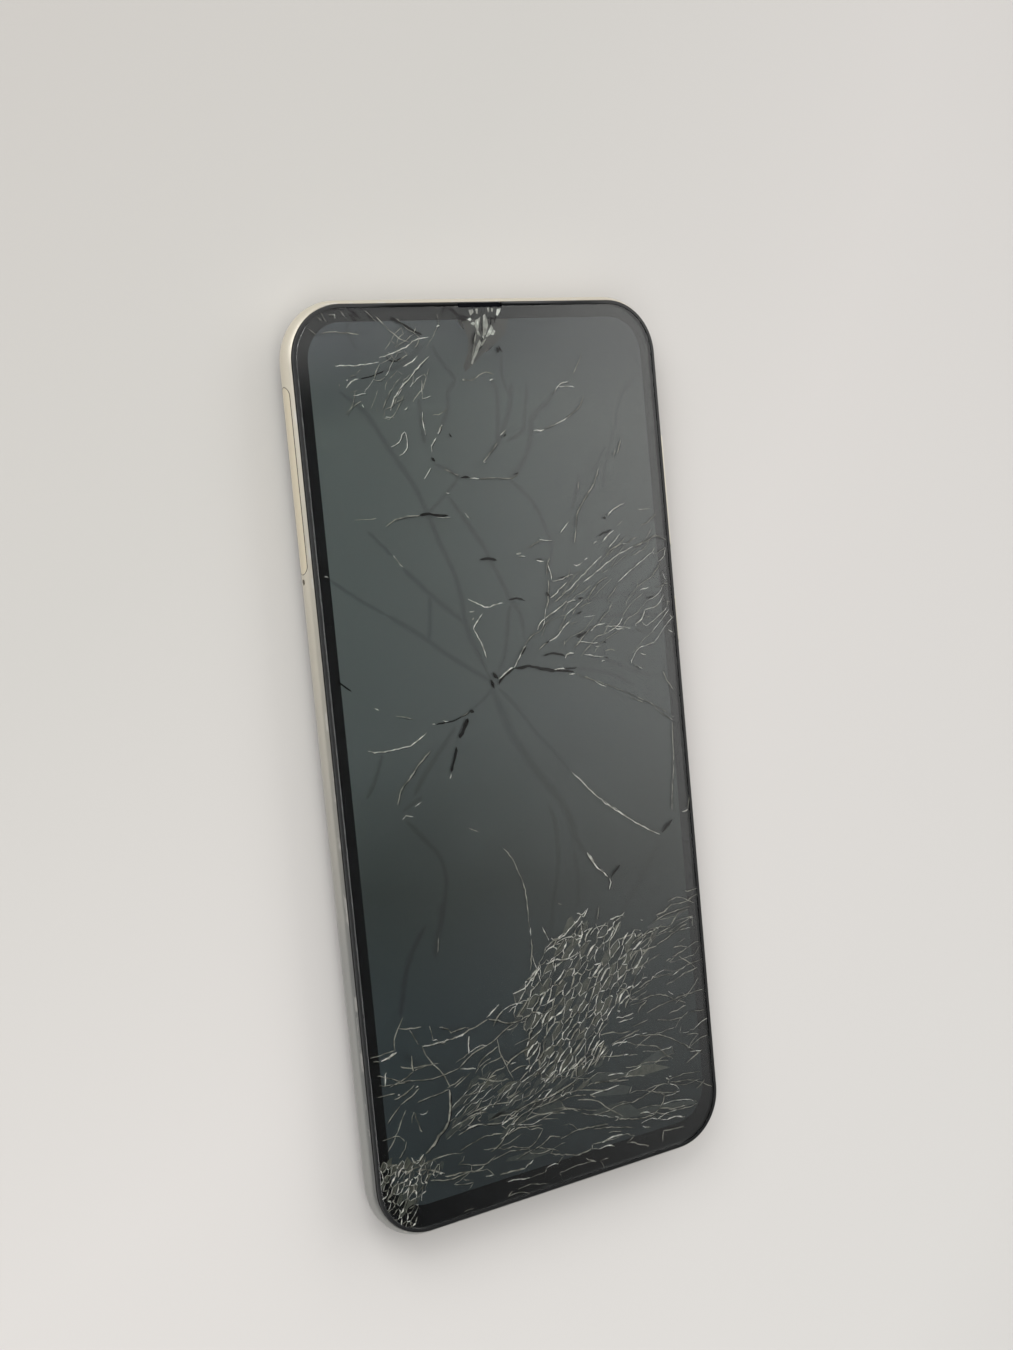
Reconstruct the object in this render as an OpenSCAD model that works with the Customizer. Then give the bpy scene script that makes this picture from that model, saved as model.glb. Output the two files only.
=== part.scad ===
// Bar phone with a shattered front glass, lying on its back.
// X is across, Y runs towards the earpiece end, Z points out of the screen.
// The origin is on the table under the middle of the body.

/* [Body] */
// Width across the frame
body_w = 75; // [62:0.5:90]
// Length from the charging end to the earpiece end
body_l = 160; // [133:1:192]
// Thickness from the rear cover to the glass
body_t = 8; // [7.8:0.1:9.6]
// Radius of the body's corners, seen from the front
corner_r = 10.4; // [9.6:0.1:12.5]

/* [Edge profile] */
// Depth of the widest line below the glass
widest_depth = 2.4; // [2.2:0.1:2.9]
// Radius of the frame's edge towards the glass
front_edge_r = 2.8; // [2.5:0.1:3.4]
// Radius of the frame's side behind the widest line
side_r = 3.4; // [3:0.1:4]
// Angle at which the side's arc ends, at the seam with the rear cover
side_turn = 50; // [46:1:54]
// Height of that seam, filled by the cover's tape
seam_gap = 0.15; // [0.1:0.01:0.2]

/* [Front glass and display] */
// Thickness of the cover glass
glass_t = 0.7; // [0.55:0.05:0.85]
// Width of the metal rim around the glass
rim_w = 0.8; // [0.6:0.1:1.2]
// Gap between the glass and the rim
glass_gap = 0.1; // [0.05:0.01:0.15]
// Thickness of the display panel
panel_t = 0.7; // [0.6:0.05:0.85]
// Black border at the sides and top of the display
border_w = 2.6; // [2.2:0.1:3.5]
// Black border at the bottom of the display
chin_w = 5; // [4.5:0.1:8]
// Thickness of the tape that holds the glass
tape_t = 0.15; // [0.1:0.05:0.2]
// Thickness of the foam behind the display
cushion_t = 0.15; // [0.1:0.05:0.2]
// Width of the display's notch at its mouth
notch_w = 11; // [9:0.5:13]
// Depth of the notch below the edge of the glass
notch_d = 8.7; // [8:0.1:10]
// Radius of the notch's round end
notch_r = 2.6; // [2.2:0.1:3.2]
// Width of a crack's opening on the glass
crack_w = 0.12; // [0.08:0.01:0.2]
// Depth of the cracks from the glass's face
crack_d = 0.3; // [0.2:0.05:0.4]

/* [Frame] */
// Thickness of the plate behind the display
web_t = 0.5; // [0.4:0.05:0.6]
// Thickness of the frame's side and top walls
wall_t = 2.9; // [2.6:0.1:3.5]
// Thickness of the frame's wall at the charging end
chin_wall_t = 5.5; // [5.2:0.1:7]
// Thickness of the ribs between the bays
rib_t = 2.5; // [2:0.1:3]
// Length of the bay behind the earpiece end
top_bay_l = 46.6; // [46:0.1:52]
// Length of the bay at the charging end
bottom_bay_l = 19; // [18.8:0.1:24]
// Thickness of the rear cover
cover_t = 0.8; // [0.6:0.05:1]

/* [SIM tray] */
// Length of the tray's pill-shaped face
tray_face_l = 30.6; // [29.5:0.1:33]
// Height of the tray's face
tray_face_h = 2.8; // [2.6:0.1:3]
// Distance of the tray's middle from the top edge
tray_from_top = 29.3; // [26:0.1:32]
// Depth of the tray into the body, behind its face
tray_depth = 13.5; // [13.1:0.1:16.5]
// Thickness of the tray's plate
tray_t = 1; // [0.9:0.05:1.1]
// Running gap around the tray
tray_gap = 0.12; // [0.08:0.01:0.2]
// Diameter of the eject pin's hole
eject_hole_d = 1; // [0.9:0.05:1.2]
// Distance of the eject hole from the end of the tray's face
eject_offset = 1.3; // [1.1:0.1:1.6]

/* [Side keys] */
// Length of the volume rocker
rocker_l = 22; // [18:0.5:27]
// Distance of the rocker's middle from the top edge
rocker_from_top = 36; // [32:0.5:42]
// Length of the power button
power_l = 10; // [8:0.5:13]
// Distance of the power button's middle from the top edge
power_from_top = 60; // [56:0.5:70]
// Height of the keys
key_h = 2.4; // [2:0.1:2.6]
// How far the keys stand out of the frame
key_proud = 0.45; // [0.3:0.05:0.6]
// Gap around the keys
key_gap = 0.12; // [0.08:0.01:0.2]
// Travel of a key
key_travel = 0.25; // [0.15:0.05:0.3]

/* [Rear cameras] */
// Width of the rear camera window
camera_window_w = 11; // [10.5:0.1:13]
// Length of the rear camera window
camera_window_l = 33; // [32:0.5:36]
// Distance of the window's middle from the frame's side
camera_from_side = 16.5; // [16.2:0.1:18]
// Distance of the window's middle from the top edge
camera_from_top = 22.5; // [21.5:0.5:26]
// Width of the metal ring around the window
camera_ring_w = 0.7; // [0.5:0.1:1]
// Side of the main camera's housing
main_camera_w = 9; // [8.6:0.1:9.8]
// Diameter of the main camera's lens barrel
main_lens_d = 6.2; // [5.6:0.1:6.4]
// Focusing travel of that barrel
focus_travel = 0.25; // [0.2:0.05:0.3]
// Side of the wide camera's housing
wide_camera_w = 8; // [7.5:0.1:9]
// Side of the depth camera's housing
depth_camera_w = 6.5; // [6:0.1:7.5]

/* [Boards and battery] */
// Thickness of the circuit boards
board_t = 0.8; // [0.7:0.05:0.9]
// Thickness of the battery
battery_t = 4.4; // [4:0.1:4.4]
// Gap around the battery
battery_gap = 0.5; // [0.3:0.1:0.8]
// Height of the USB-C opening
usb_h = 2.6; // [2.5:0.02:2.64]
// Width of the USB-C opening
usb_w = 8.4; // [8.34:0.02:8.6]
// Length of the USB-C socket
usb_l = 7.4; // [7:0.1:8]
// Diameter of the vibration motor
motor_d = 8; // [7:0.5:9]
// Height of the vibration motor
motor_t = 2.8; // [2.6:0.1:3]

/* [Hidden] */
$fn = 64;

half_w = body_w / 2;
half_l = body_l / 2;
small = 0.01;
far = 400;

// heights of the layers, from the rear cover up
widest_z = body_t - widest_depth;
glass_z = body_t - glass_t;
ledge_z = glass_z - tape_t;
panel_z = glass_z - panel_t;
cushion_z = panel_z - cushion_t;
web_z = cushion_z - web_t;
seam_z = widest_z - side_r * sin(side_turn);
rim_z = body_t - 0.4;
rib_z = 2.7;
board_top_z = web_z - 1.85;
board_z = board_top_z - board_t;
screw_head_t = 0.5;
can_t = 1.25;
bracket_t = 0.6;
bracket_z = board_z - can_t - 0.1 - bracket_t;

// the rear cover's large arc, tangent to the side's arc and to the flat back
back_r = seam_z / (1 - sin(side_turn));
back_x = corner_r - side_r - (back_r - side_r) * cos(side_turn);
// where the body's inside reaches at a height, outwards from a corner's centre
function reach(z, off) = back_x + sqrt(pow(back_r - off, 2) - pow(back_r - z, 2));
function half_room(z) = half_w - corner_r + reach(z, cover_t);

// bays
bay_x = half_w - wall_t;
bay_top = half_l - wall_t;
bay_bottom = -half_l + chin_wall_t;
bay_r = corner_r - wall_t;
top_rib_y = bay_top - top_bay_l;
bottom_rib_y = bay_bottom + bottom_bay_l + rib_t;
rib_end_gap = 2.2;
panel_inset = border_w + 0.2;
panel_bottom = -half_l + chin_w - 0.5;
pocket_gap = 0.2;

// SIM tray and its reader
tray_y = half_l - tray_from_top;
tray_z = widest_z - 0.2;
tray_face_t = 1.2;
tray_w = tray_face_l - 1.8;
tray_plate_z = web_z - 0.15 - tray_t;
tray_in_x = -half_w + tray_face_t;
tray_end_x = tray_in_x + tray_depth;
eject_y = tray_y - tray_face_l / 2 - eject_offset;
rod_w = 0.9;
rod_z = web_z - 0.1 - rod_w / 2;
lever_gap = 0.15;
lever_arm = 2.5;
lever_w = 0.8;
lever_x = tray_end_x + 1.4 + lever_w / 2;
lever_y = eject_y + lever_arm;
lever_tip = 3;
lever_pin_r = 0.5;
pivot_gap = 0.08;
reader_base_z = board_top_z;
reader_base_t = 0.5;
reader_wall = 0.4;

// side keys
key_z = widest_z - 0.2;
key_cap_t = 1;
key_recess = key_cap_t + key_travel + 0.1;
rocker_y = half_l - rocker_from_top;
power_y = half_l - power_from_top;
stem_w = 2.6;
stem_h = 0.9;
stem_spread = 14;
stem_z = key_z - 0.1;
stem_out = 0.25;
dome_gap = key_travel + 0.1;
dome_t = 0.5;
key_flex_t = 0.15;
key_bracket_t = 0.3;
dome_x = bay_x - stem_out - dome_gap;

// rear cameras
camera_x = half_w - camera_from_side;
camera_y = half_l - camera_from_top;
ring_sunk = 0.05;
window_sunk = 0.15;
window_t = 0.6;
camera_inner_z = window_sunk + window_t;
camera_gap = 0.15;
main_camera_y = camera_y + camera_window_l / 2 - 6.2;
wide_camera_y = main_camera_y - 10.4;
depth_camera_y = wide_camera_y - 9.4;
flash_y = camera_y - camera_window_l / 2 - 4.2;
flash_d = 4;
front_camera_w = 5.8;
front_camera_y = half_l - rim_w - 4.9;

// charging end
usb_wall = 0.28;
usb_z = panel_z - 0.07 - usb_wall - usb_h / 2;
usb_top = usb_z + usb_h / 2 + usb_wall;
sub_board_top = usb_z - usb_h / 2 - usb_wall;
sub_board_z = sub_board_top - board_t;
usb_front_y = -half_l + 2;
usb_back_y = usb_front_y + usb_l;
motor_x = -bay_x + motor_d / 2 + 3.6;
motor_y = bottom_rib_y - rib_t - motor_d / 2 - 0.6;
motor_top = web_z;
motor_wall = 0.25;
rotor_gap = 0.25;
motor_shaft_r = 0.4;

// battery
battery_z = web_z - 0.1 - battery_t;
battery_w = 2 * (half_room(battery_z - 0.1) - battery_gap - 0.9);
battery_top = top_rib_y - rib_t - battery_gap;
battery_bottom = bottom_rib_y + battery_gap;
cable_x = battery_w / 2 + 0.9;
cable_d = 0.8;
cable_z = sub_board_z - 0.15 - cable_d / 2;
flex_t = 0.15;
main_flex_z = cover_t + 0.2;
main_flex_w = 12;

// screws through the brackets into the frame's posts
screw_r = 0.65;
screw_head_r = 1.2;
post_r = 1.7;
board_right = camera_x - main_camera_w / 2 - 1;
board_y = top_rib_y + 0.9;
board_top = front_camera_y - front_camera_w / 2 - 1;
board_left = -bay_x + 0.3;
chip_x = board_right - 15;
chip_y = board_y + 22;
reader_end_x = lever_x + 2.2;
top_screws = [[board_left + 10.3, board_top - 2.9], [reader_end_x + 2.5, board_y + 7.3],
    [board_right - 2.9, board_top - 2.9], [board_right - 2.9, chip_y - 5]];
board_screw = [-15, bottom_rib_y - 6];
bottom_screws = [[-bay_x + 6.1, bay_bottom + 4], [-9, bottom_rib_y - 6], board_screw];

// the cracks that run right across the glass, as points from its middle
long_cracks = [
    [[-30, 67], [-22, 56], [-15, 44], [-8, 25], [-4, 13]],
    [[-30, 44], [-21, 39], [-8, 23]],
    [[-34, 34], [-16, 22], [-4, 13]],
    [[-4, 13], [0, 5], [7, -6], [18, -11], [30, -20]],
    [[0, 15], [6, 15], [13, 13], [34, 1]],
    [[34, 1], [32, -17], [30, -20]],
    [[-4, 13], [6, 23], [12, 33], [21, 44], [28, 55]],
    [[-10, 74], [-17, 65], [-19, 55]],
    [[-10, 74], [-14, 56], [-13, 49]],
    [[-10, 74], [-21, 78]],
    [[1, 74], [-3, 67], [1, 65], [1, 55], [-8, 50], [3, 49], [8, 56]],
    [[8, 56], [15, 58], [19, 63], [24, 72]],
    [[3, 49], [9, 39], [11, 33], [3, 20], [-4, 13]],
    [[-28, 44], [-14, 44], [-7, 43]],
    [[-9, 9], [-17, 8], [-25, 10], [-34, 17]],
    [[-9, 9], [-14, -2], [-25, -4]],
    [[13, -20], [16, -25], [8, -38]],
    [[-33, -47], [-25, -44], [-12, -45], [1, -37], [8, -38]],
    [[8, -38], [22, -35], [36, -33]],
    [[-25, -47], [-21, -56], [-15, -61], [4, -53], [20, -50], [35, -52]],
    [[-35, -70], [-15, -61], [8, -47], [22, -41]],
    [[-34, -63], [-28, -70], [-31, -77]],
];
// crushed spots as [x, y, radius of the bite, its depth]
crushed_spots = [[0, 77, 2.2, 0.35], [2, 73.6, 1.2, 0.25], [-32.5, -75, 1.6, 0.35], [-34, -69, 1, 0.25],
    [31, -18.6, 0.9, 0.2], [-33.2, -46.4, 1, 0.2]];

// ---------- outlines ----------

// rectangle with round corners
module round_rect(w, l, r) {
    square([w - 2 * r, l], center = true);
    square([w, l - 2 * r], center = true);
    for (x = [-1, 1], y = [-1, 1])
        translate([x * (w / 2 - r), y * (l / 2 - r)]) circle(r = r);
}

// pill, long along the second axis
module pill(l, h) {
    square([h, l - h], center = true);
    for (y = [-1, 1]) translate([0, y * (l - h) / 2]) circle(d = h);
}

module plate(w, l, r, z0, z1) {
    translate([0, 0, z0]) linear_extrude(z1 - z0) round_rect(w, l, r);
}

// box from one corner to the other
module block(x0, x1, y0, y1, z0, z1) {
    translate([x0, y0, z0]) cube([x1 - x0, y1 - y0, z1 - z0]);
}

module peg(x, y, z0, z1, r) {
    translate([x, y, z0]) cylinder(r = r, h = z1 - z0);
}

// quarter of a disc's edge: the part of it that lies outwards of its centre, between two heights
module disc_edge(cx, cz, r, z0, z1) {
    intersection() {
        translate([cx, cz]) circle(r = r, $fn = 128);
        translate([cx, z0]) square([r + 1, z1 - z0]);
    }
    translate([0, z0]) square([cx, z1 - z0]);
}

// section of the frame, outwards from a corner's centre
module frame_section() {
    disc_edge(corner_r - side_r, widest_z, side_r, seam_z, widest_z);
    disc_edge(corner_r - front_edge_r, widest_z, front_edge_r, widest_z, rim_z);
}

// section of the rear cover's solid, with its skin moved in by off
module back_section(off) {
    disc_edge(back_x, back_r, back_r - off, off, seam_z - seam_gap + off);
}

// sweeps a section round the body's outline
module round_body(z0, z1) {
    side_x = half_w - corner_r;
    side_y = half_l - corner_r;
    for (turn = [0 : 3]) {
        sx = (turn == 0 || turn == 3) ? 1 : -1;
        sy = (turn < 2) ? 1 : -1;
        translate([sx * side_x, sy * side_y]) rotate(90 * turn)
            rotate_extrude(angle = 90) children();
    }
    for (s = [0, 180]) rotate(s) {
        translate([side_x, side_y, 0]) rotate([90, 0, 0]) linear_extrude(2 * side_y) children();
        translate([-side_x, side_y, 0]) rotate([90, 0, 90]) linear_extrude(2 * side_x) children();
    }
    translate([-side_x, -side_y, z0]) cube([2 * side_x, 2 * side_y, z1 - z0]);
}

module frame_body() {
    round_body(seam_z, rim_z) frame_section();
}

module back_body(off) {
    round_body(off, seam_z - seam_gap + off) back_section(off);
}

// ---------- glass and display ----------

glass_w = body_w - 2 * (rim_w + glass_gap);
glass_l = body_l - 2 * (rim_w + glass_gap);
glass_r = corner_r - rim_w - glass_gap;

// groove left by one stretch of a crack
module crack(a, b) {
    run = norm(b - a);
    translate([a[0], a[1], body_t - crack_d]) rotate(atan2(b[1] - a[1], b[0] - a[0]))
        translate([0, -crack_w / 2, 0]) cube([run, crack_w, crack_d + 1]);
}

module cover_glass() {
    slot_l = 9;
    slot_w = 0.9;
    bevel = 0.35;
    color("#2b3032") difference() {
        union() {
            plate(glass_w, glass_l, glass_r, glass_z, body_t - bevel);
            plate(glass_w - 2 * bevel, glass_l - 2 * bevel, glass_r - bevel, glass_z, body_t);
        }
        for (line = long_cracks, i = [0 : len(line) - 2]) crack(line[i], line[i + 1]);
        for (spot = crushed_spots) {
            bite_r = (pow(spot[2], 2) + pow(spot[3], 2)) / (2 * spot[3]);
            translate([spot[0], spot[1], body_t - spot[3] + bite_r]) sphere(r = bite_r);
        }
        block(-slot_l / 2, slot_l / 2, glass_l / 2 - slot_w, far, glass_z - 1, far);
    }
}

module notch_outline(grow) {
    mouth = half_l - rim_w;
    tip = mouth - notch_d + notch_r;
    polygon([[-notch_w / 2 - grow, half_l], [notch_w / 2 + grow, half_l],
        [notch_w / 2 + grow, mouth - 1.8], [notch_r + grow, tip],
        [-notch_r - grow, tip], [-notch_w / 2 - grow, mouth - 1.8]]);
    translate([0, tip]) circle(r = notch_r + grow);
}

module panel_outline(shrink) {
    top = half_l - panel_inset;
    difference() {
        translate([0, (top + panel_bottom) / 2])
            round_rect(body_w - 2 * panel_inset - 2 * shrink, top - panel_bottom - 2 * shrink,
                corner_r - panel_inset - shrink);
        notch_outline(shrink);
    }
}

module display_panel() {
    color("#15181a") translate([0, 0, panel_z]) linear_extrude(panel_t) panel_outline(0);
}

flex_tab_l = 5.2;

module panel_cushion() {
    color("#30302e") difference() {
        translate([0, 0, cushion_z]) linear_extrude(cushion_t) panel_outline(0.6);
        block(-far, far, -far, panel_bottom + flex_tab_l, 0, far);
    }
}

module screen_tape() {
    outer = rim_w + glass_gap + 0.2;
    inner = panel_inset - pocket_gap;
    color("#101010") difference() {
        plate(body_w - 2 * outer, body_l - 2 * outer, corner_r - outer, ledge_z, glass_z);
        plate(body_w - 2 * inner, body_l - 2 * inner, corner_r - inner, 0, far);
        block(-6, 6, half_l - 4, far, 0, far);
    }
}

display_flex_x = [-usb_w / 2 - 15.8, -usb_w / 2 - 5.8];
web_slot_y = bay_bottom + 0.2;
module display_flex() {
    x0 = display_flex_x[0];
    x1 = display_flex_x[1];
    fold_y = web_slot_y + 1;
    low_z = sub_board_top + 1;
    color("#b5702c") {
        block(x0, x1, panel_bottom + 0.3, fold_y + flex_t, cushion_z, panel_z);
        block(x0, x1, fold_y, fold_y + flex_t, low_z, cushion_z);
        block(x0, x1, fold_y, fold_y + 6, low_z, low_z + flex_t);
    }
}

module earpiece_mesh() {
    mesh_t = 0.3;
    color("#1d1f1e") difference() {
        block(-4.4, 4.4, glass_l / 2 - 0.85, half_l - rim_w - 0.05, glass_z - mesh_t, glass_z);
        for (x = [-4 : 0.8 : 4]) block(x - 0.2, x + 0.2, glass_l / 2 - 0.65, glass_l / 2 - 0.15, 0, far);
    }
}

// ---------- frame and rear cover ----------

module bay_space() {
    translate([0, (bay_top + bay_bottom) / 2, 0])
        plate(2 * bay_x, bay_top - bay_bottom, bay_r, 0, web_z);
}

module within_bay(gap) {
    intersection() {
        union() children();
        translate([0, (bay_top + bay_bottom) / 2, 0])
            plate(2 * (bay_x - gap), bay_top - bay_bottom - 2 * gap, bay_r - gap, -1, far);
    }
}

module rib(y0) {
    block(-bay_x + rib_end_gap, bay_x - rib_end_gap, y0 - rib_t, y0, rib_z, web_z + small);
}

module tray_recess(grow) {
    translate([-half_w - 1, tray_y, tray_z]) rotate([0, 90, 0])
        linear_extrude(1 + tray_face_t + grow) pill(tray_face_l + 2 * grow, tray_face_h + 2 * grow);
}

module key_recess_at(y, l) {
    translate([half_w - key_recess, y, key_z]) rotate([0, 90, 0])
        linear_extrude(key_recess + 1) pill(l + 2 * key_gap, key_h + 2 * key_gap);
}

module key_stem(y, x0, grow) {
    block(x0, half_w - key_recess + small, y - stem_w / 2 - grow, y + stem_w / 2 + grow,
        stem_z - stem_h / 2 - grow, stem_z + stem_h / 2 + grow);
}

stem_ys = [rocker_y - stem_spread / 2, rocker_y + stem_spread / 2, power_y];
speaker_hole_x = [for (i = [0 : 5]) 12 + 2.2 * i];
mic_hole_x = -8;
top_mic_x = 5.5;

module frame_posts() {
    for (p = concat(top_screws, bottom_screws)) {
        floor_z = p[1] > 0 ? board_top_z : sub_board_top;
        peg(p[0], p[1], floor_z, web_z + small, post_r);
    }
}

module mid_frame() {
    ledge_w = body_w - 2 * rim_w;
    ledge_l = body_l - 2 * rim_w;
    pocket = panel_inset - pocket_gap;
    color("#c9c3b2") difference() {
        frame_body();
        plate(ledge_w, ledge_l, corner_r - rim_w, ledge_z, far);
        plate(body_w - 2 * pocket, body_l - 2 * pocket, corner_r - pocket, cushion_z, far);
        difference() {
            bay_space();
            rib(top_rib_y);
            rib(bottom_rib_y);
            frame_posts();
        }
        tray_recess(tray_gap);
        block(-half_w, -bay_x + small, tray_y - tray_w / 2 - tray_gap, tray_y + tray_w / 2 + tray_gap,
            tray_plate_z - tray_gap, tray_plate_z + tray_t + tray_gap);
        translate([-half_w - 1, eject_y, rod_z]) rotate([0, 90, 0])
            cylinder(d = eject_hole_d, h = wall_t + 1.01);
        key_recess_at(rocker_y, rocker_l);
        key_recess_at(power_y, power_l);
        for (y = stem_ys) key_stem(y, bay_x - small, key_gap);
        for (p = concat(top_screws, bottom_screws)) peg(p[0], p[1], 0, web_z - 0.2, screw_r + 0.05);
        // front camera, proximity sensor and the display's flex
        block(-front_camera_w / 2 - 0.2, front_camera_w / 2 + 0.2, front_camera_y - front_camera_w / 2 - 0.2,
            front_camera_y + front_camera_w / 2 + 0.2, 0, far);
        block(display_flex_x[0] - 0.5, display_flex_x[1] + 0.5, panel_bottom, bay_bottom + 3,
            web_z - small, far);
        // charging socket, loudspeaker, microphones
        block(-usb_w / 2 - usb_wall - 0.05, usb_w / 2 + usb_wall + 0.05, usb_front_y, usb_back_y + 0.3,
            sub_board_top - 0.05, usb_top + 0.05);
        translate([0, -half_l + 2, usb_z]) rotate([90, 0, 0]) linear_extrude(far) rotate(90) pill(usb_w, usb_h);
        for (x = concat(speaker_hole_x, [mic_hole_x]))
            translate([x, bay_bottom + small, usb_z]) rotate([90, 0, 0]) cylinder(d = 1.2, h = far);
        translate([top_mic_x, bay_top - small, usb_z]) rotate([-90, 0, 0]) cylinder(d = 1, h = far);
        // earpiece slot between the glass and the rim
        block(-4.5, 4.5, half_l - rim_w - 1.2, half_l - rim_w, glass_z - 0.35, far);
    }
}

module camera_hole_outline(grow) {
    translate([camera_x, camera_y])
        pill(camera_window_l + 2 * (camera_ring_w + grow), camera_window_w + 2 * (camera_ring_w + grow));
}

module rear_cover() {
    color("#8d9496") difference() {
        back_body(0);
        back_body(cover_t);
        translate([0, 0, -1]) linear_extrude(3) camera_hole_outline(0.08);
        peg(camera_x, flash_y, -1, 3, flash_d / 2 + 0.08);
    }
}

module cover_adhesive() {
    outer = corner_r - reach(seam_z - seam_gap, 0) + 0.3;
    inner = corner_r - reach(seam_z - seam_gap, cover_t) - 0.1;
    color("#1a1a1a") difference() {
        plate(body_w - 2 * outer, body_l - 2 * outer, corner_r - outer, seam_z - seam_gap, seam_z);
        plate(body_w - 2 * inner, body_l - 2 * inner, corner_r - inner, 0, far);
    }
}

// ---------- cameras ----------

module camera_ring() {
    color("#9a9c9c") difference() {
        translate([0, 0, ring_sunk]) linear_extrude(cover_t + 0.5) camera_hole_outline(0);
        translate([0, 0, -1]) linear_extrude(1 + camera_inner_z) camera_hole_outline(-camera_ring_w);
        translate([0, 0, -1]) linear_extrude(far) camera_hole_outline(-camera_ring_w - 0.6);
    }
}

module camera_window() {
    color("#0c0e10") translate([0, 0, window_sunk]) linear_extrude(window_t)
        camera_hole_outline(-camera_ring_w - 0.04);
}

module flash_lens() {
    color("#efe9c8") {
        peg(camera_x, flash_y, ring_sunk, cover_t, flash_d / 2);
        peg(camera_x, flash_y, cover_t, board_z - 0.9, 1.3);
    }
}

module flash_led() {
    color("#e8d34a") block(camera_x - 1.3, camera_x + 1.3, flash_y - 1.3, flash_y + 1.3, board_z - 0.7, board_z);
}

module fixed_camera(x, y, w, z_top, lens_r) {
    color("#22242a") {
        block(x - w / 2, x + w / 2, y - w / 2, y + w / 2, camera_inner_z + 1.3, z_top);
        peg(x, y, camera_inner_z + camera_gap, camera_inner_z + 1.31, lens_r);
    }
}

main_housing_z = camera_inner_z + 0.9;
module main_camera() {
    w = main_camera_w;
    color("#2a2c33") difference() {
        block(camera_x - w / 2, camera_x + w / 2, main_camera_y - w / 2, main_camera_y + w / 2,
            main_housing_z, web_z);
        peg(camera_x, main_camera_y, 0, web_z - 0.8, main_lens_d / 2 + 0.1);
    }
}

module main_lens() {
    color("#0f1116") difference() {
        peg(camera_x, main_camera_y, camera_inner_z + camera_gap + focus_travel, web_z - 1.2, main_lens_d / 2);
        peg(camera_x, main_camera_y, 0, camera_inner_z + camera_gap + focus_travel + 0.5, 1.7);
    }
}

module wide_camera() {
    fixed_camera(camera_x, wide_camera_y, wide_camera_w, web_z, 2.6);
}

module depth_camera() {
    fixed_camera(camera_x, depth_camera_y, depth_camera_w, web_z, 2);
}

module front_camera() {
    w = front_camera_w;
    color("#1b1d22") {
        block(-w / 2, w / 2, front_camera_y - w / 2, front_camera_y + w / 2, web_z - 2.2, web_z + 0.3);
        peg(0, front_camera_y, web_z + 0.29, glass_z - 0.05, 1.7);
    }
}

module earpiece_speaker() {
    color("#3a3c3e") block(-16, -5, bay_top - 6, bay_top - 0.4, web_z - 1.8, web_z);
}

module proximity_sensor() {
    top = half_l - panel_inset - 0.1;
    color("#3b1f4a") block(3.2, 4.4, top - 1, top, cushion_z, glass_z - 0.1);
}

// ---------- boards ----------

arm_top = depth_camera_y - depth_camera_w / 2 - 0.6;

module mainboard() {
    color("#1f4d3a") difference() {
        within_bay(0.2) {
            block(board_left, board_right, board_y, board_top, board_z, board_top_z);
            block(board_left, bay_x - 2.4, board_y, arm_top, board_z, board_top_z);
        }
        for (p = top_screws) peg(p[0], p[1], 0, far, screw_r + 0.2);
    }
}

module processor() {
    color("#26282a") block(chip_x - 6.2, chip_x + 6.2, chip_y - 6.2, chip_y + 6.2, board_z - 0.9, board_z);
}

module shield_can() {
    w = 15.5;
    l = 20;
    color("#b9bcbe") difference() {
        block(chip_x - w / 2, chip_x + w / 2, chip_y - 8, chip_y - 8 + l, board_z - can_t, board_z);
        block(chip_x - w / 2 + 0.2, chip_x + w / 2 - 0.2, chip_y - 7.8, chip_y - 8.2 + l,
            board_z - can_t + 0.15, board_z + small);
    }
}

module power_chip() {
    color("#2a2a2a") block(chip_x - 3, chip_x + 3, chip_y + 7, chip_y + 11.4, board_z - 0.8, board_z);
}

module memory_chip() {
    color("#232527") block(chip_x - 6, chip_x + 5.5, chip_y - 4, chip_y + 9, board_top_z, board_top_z + 1);
}

module radio_chip() {
    color("#2c2c2e") block(board_left + 3, board_left + 10, board_y + 12, board_y + 18, board_z - 0.9, board_z);
}

module sim_reader() {
    base_top = reader_base_z + reader_base_t;
    wall_y = tray_w / 2 + tray_gap;
    x0 = -bay_x + 0.1;
    x1 = reader_end_x;
    color("#a9adb0") {
        union() {
            block(x0, x1, eject_y - 0.45, tray_y + wall_y + reader_wall, reader_base_z, base_top);
            block(x0, tray_end_x, tray_y - wall_y - reader_wall, tray_y - wall_y, reader_base_z, web_z - 0.05);
            block(x0, x1, tray_y + wall_y, tray_y + wall_y + reader_wall, reader_base_z, web_z - 0.05);
            block(x1 - reader_wall, x1, eject_y + 1.2, tray_y + wall_y, reader_base_z, web_z - 0.05);
            peg(lever_x, lever_y, reader_base_z, web_z - 0.1, lever_pin_r);
            peg(lever_x, lever_y, reader_base_z, tray_plate_z - 0.05, 0.8);
        }
    }
}

module eject_rod() {
    nose_x = lever_x - lever_w / 2 - lever_gap;
    color("#c9cbcd") {
        block(-bay_x + 0.02, nose_x - 1.6, eject_y - rod_w / 2, eject_y + rod_w / 2, rod_z - rod_w / 2,
            rod_z + rod_w / 2);
        block(nose_x - 1.61, nose_x, eject_y - 0.2, eject_y + 0.2, rod_z - rod_w / 2, rod_z + rod_w / 2);
    }
}

module eject_lever() {
    z0 = tray_plate_z + 0.1;
    z1 = tray_plate_z + tray_t - 0.1;
    color("#d4d6d8") difference() {
        union() {
            block(lever_x - lever_w / 2, lever_x + lever_w / 2, eject_y - 0.4, lever_y + lever_tip, z0, z1);
            peg(lever_x, lever_y, z0, z1, lever_pin_r + pivot_gap + 0.35);
        }
        peg(lever_x, lever_y, 0, far, lever_pin_r + pivot_gap);
    }
}

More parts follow.
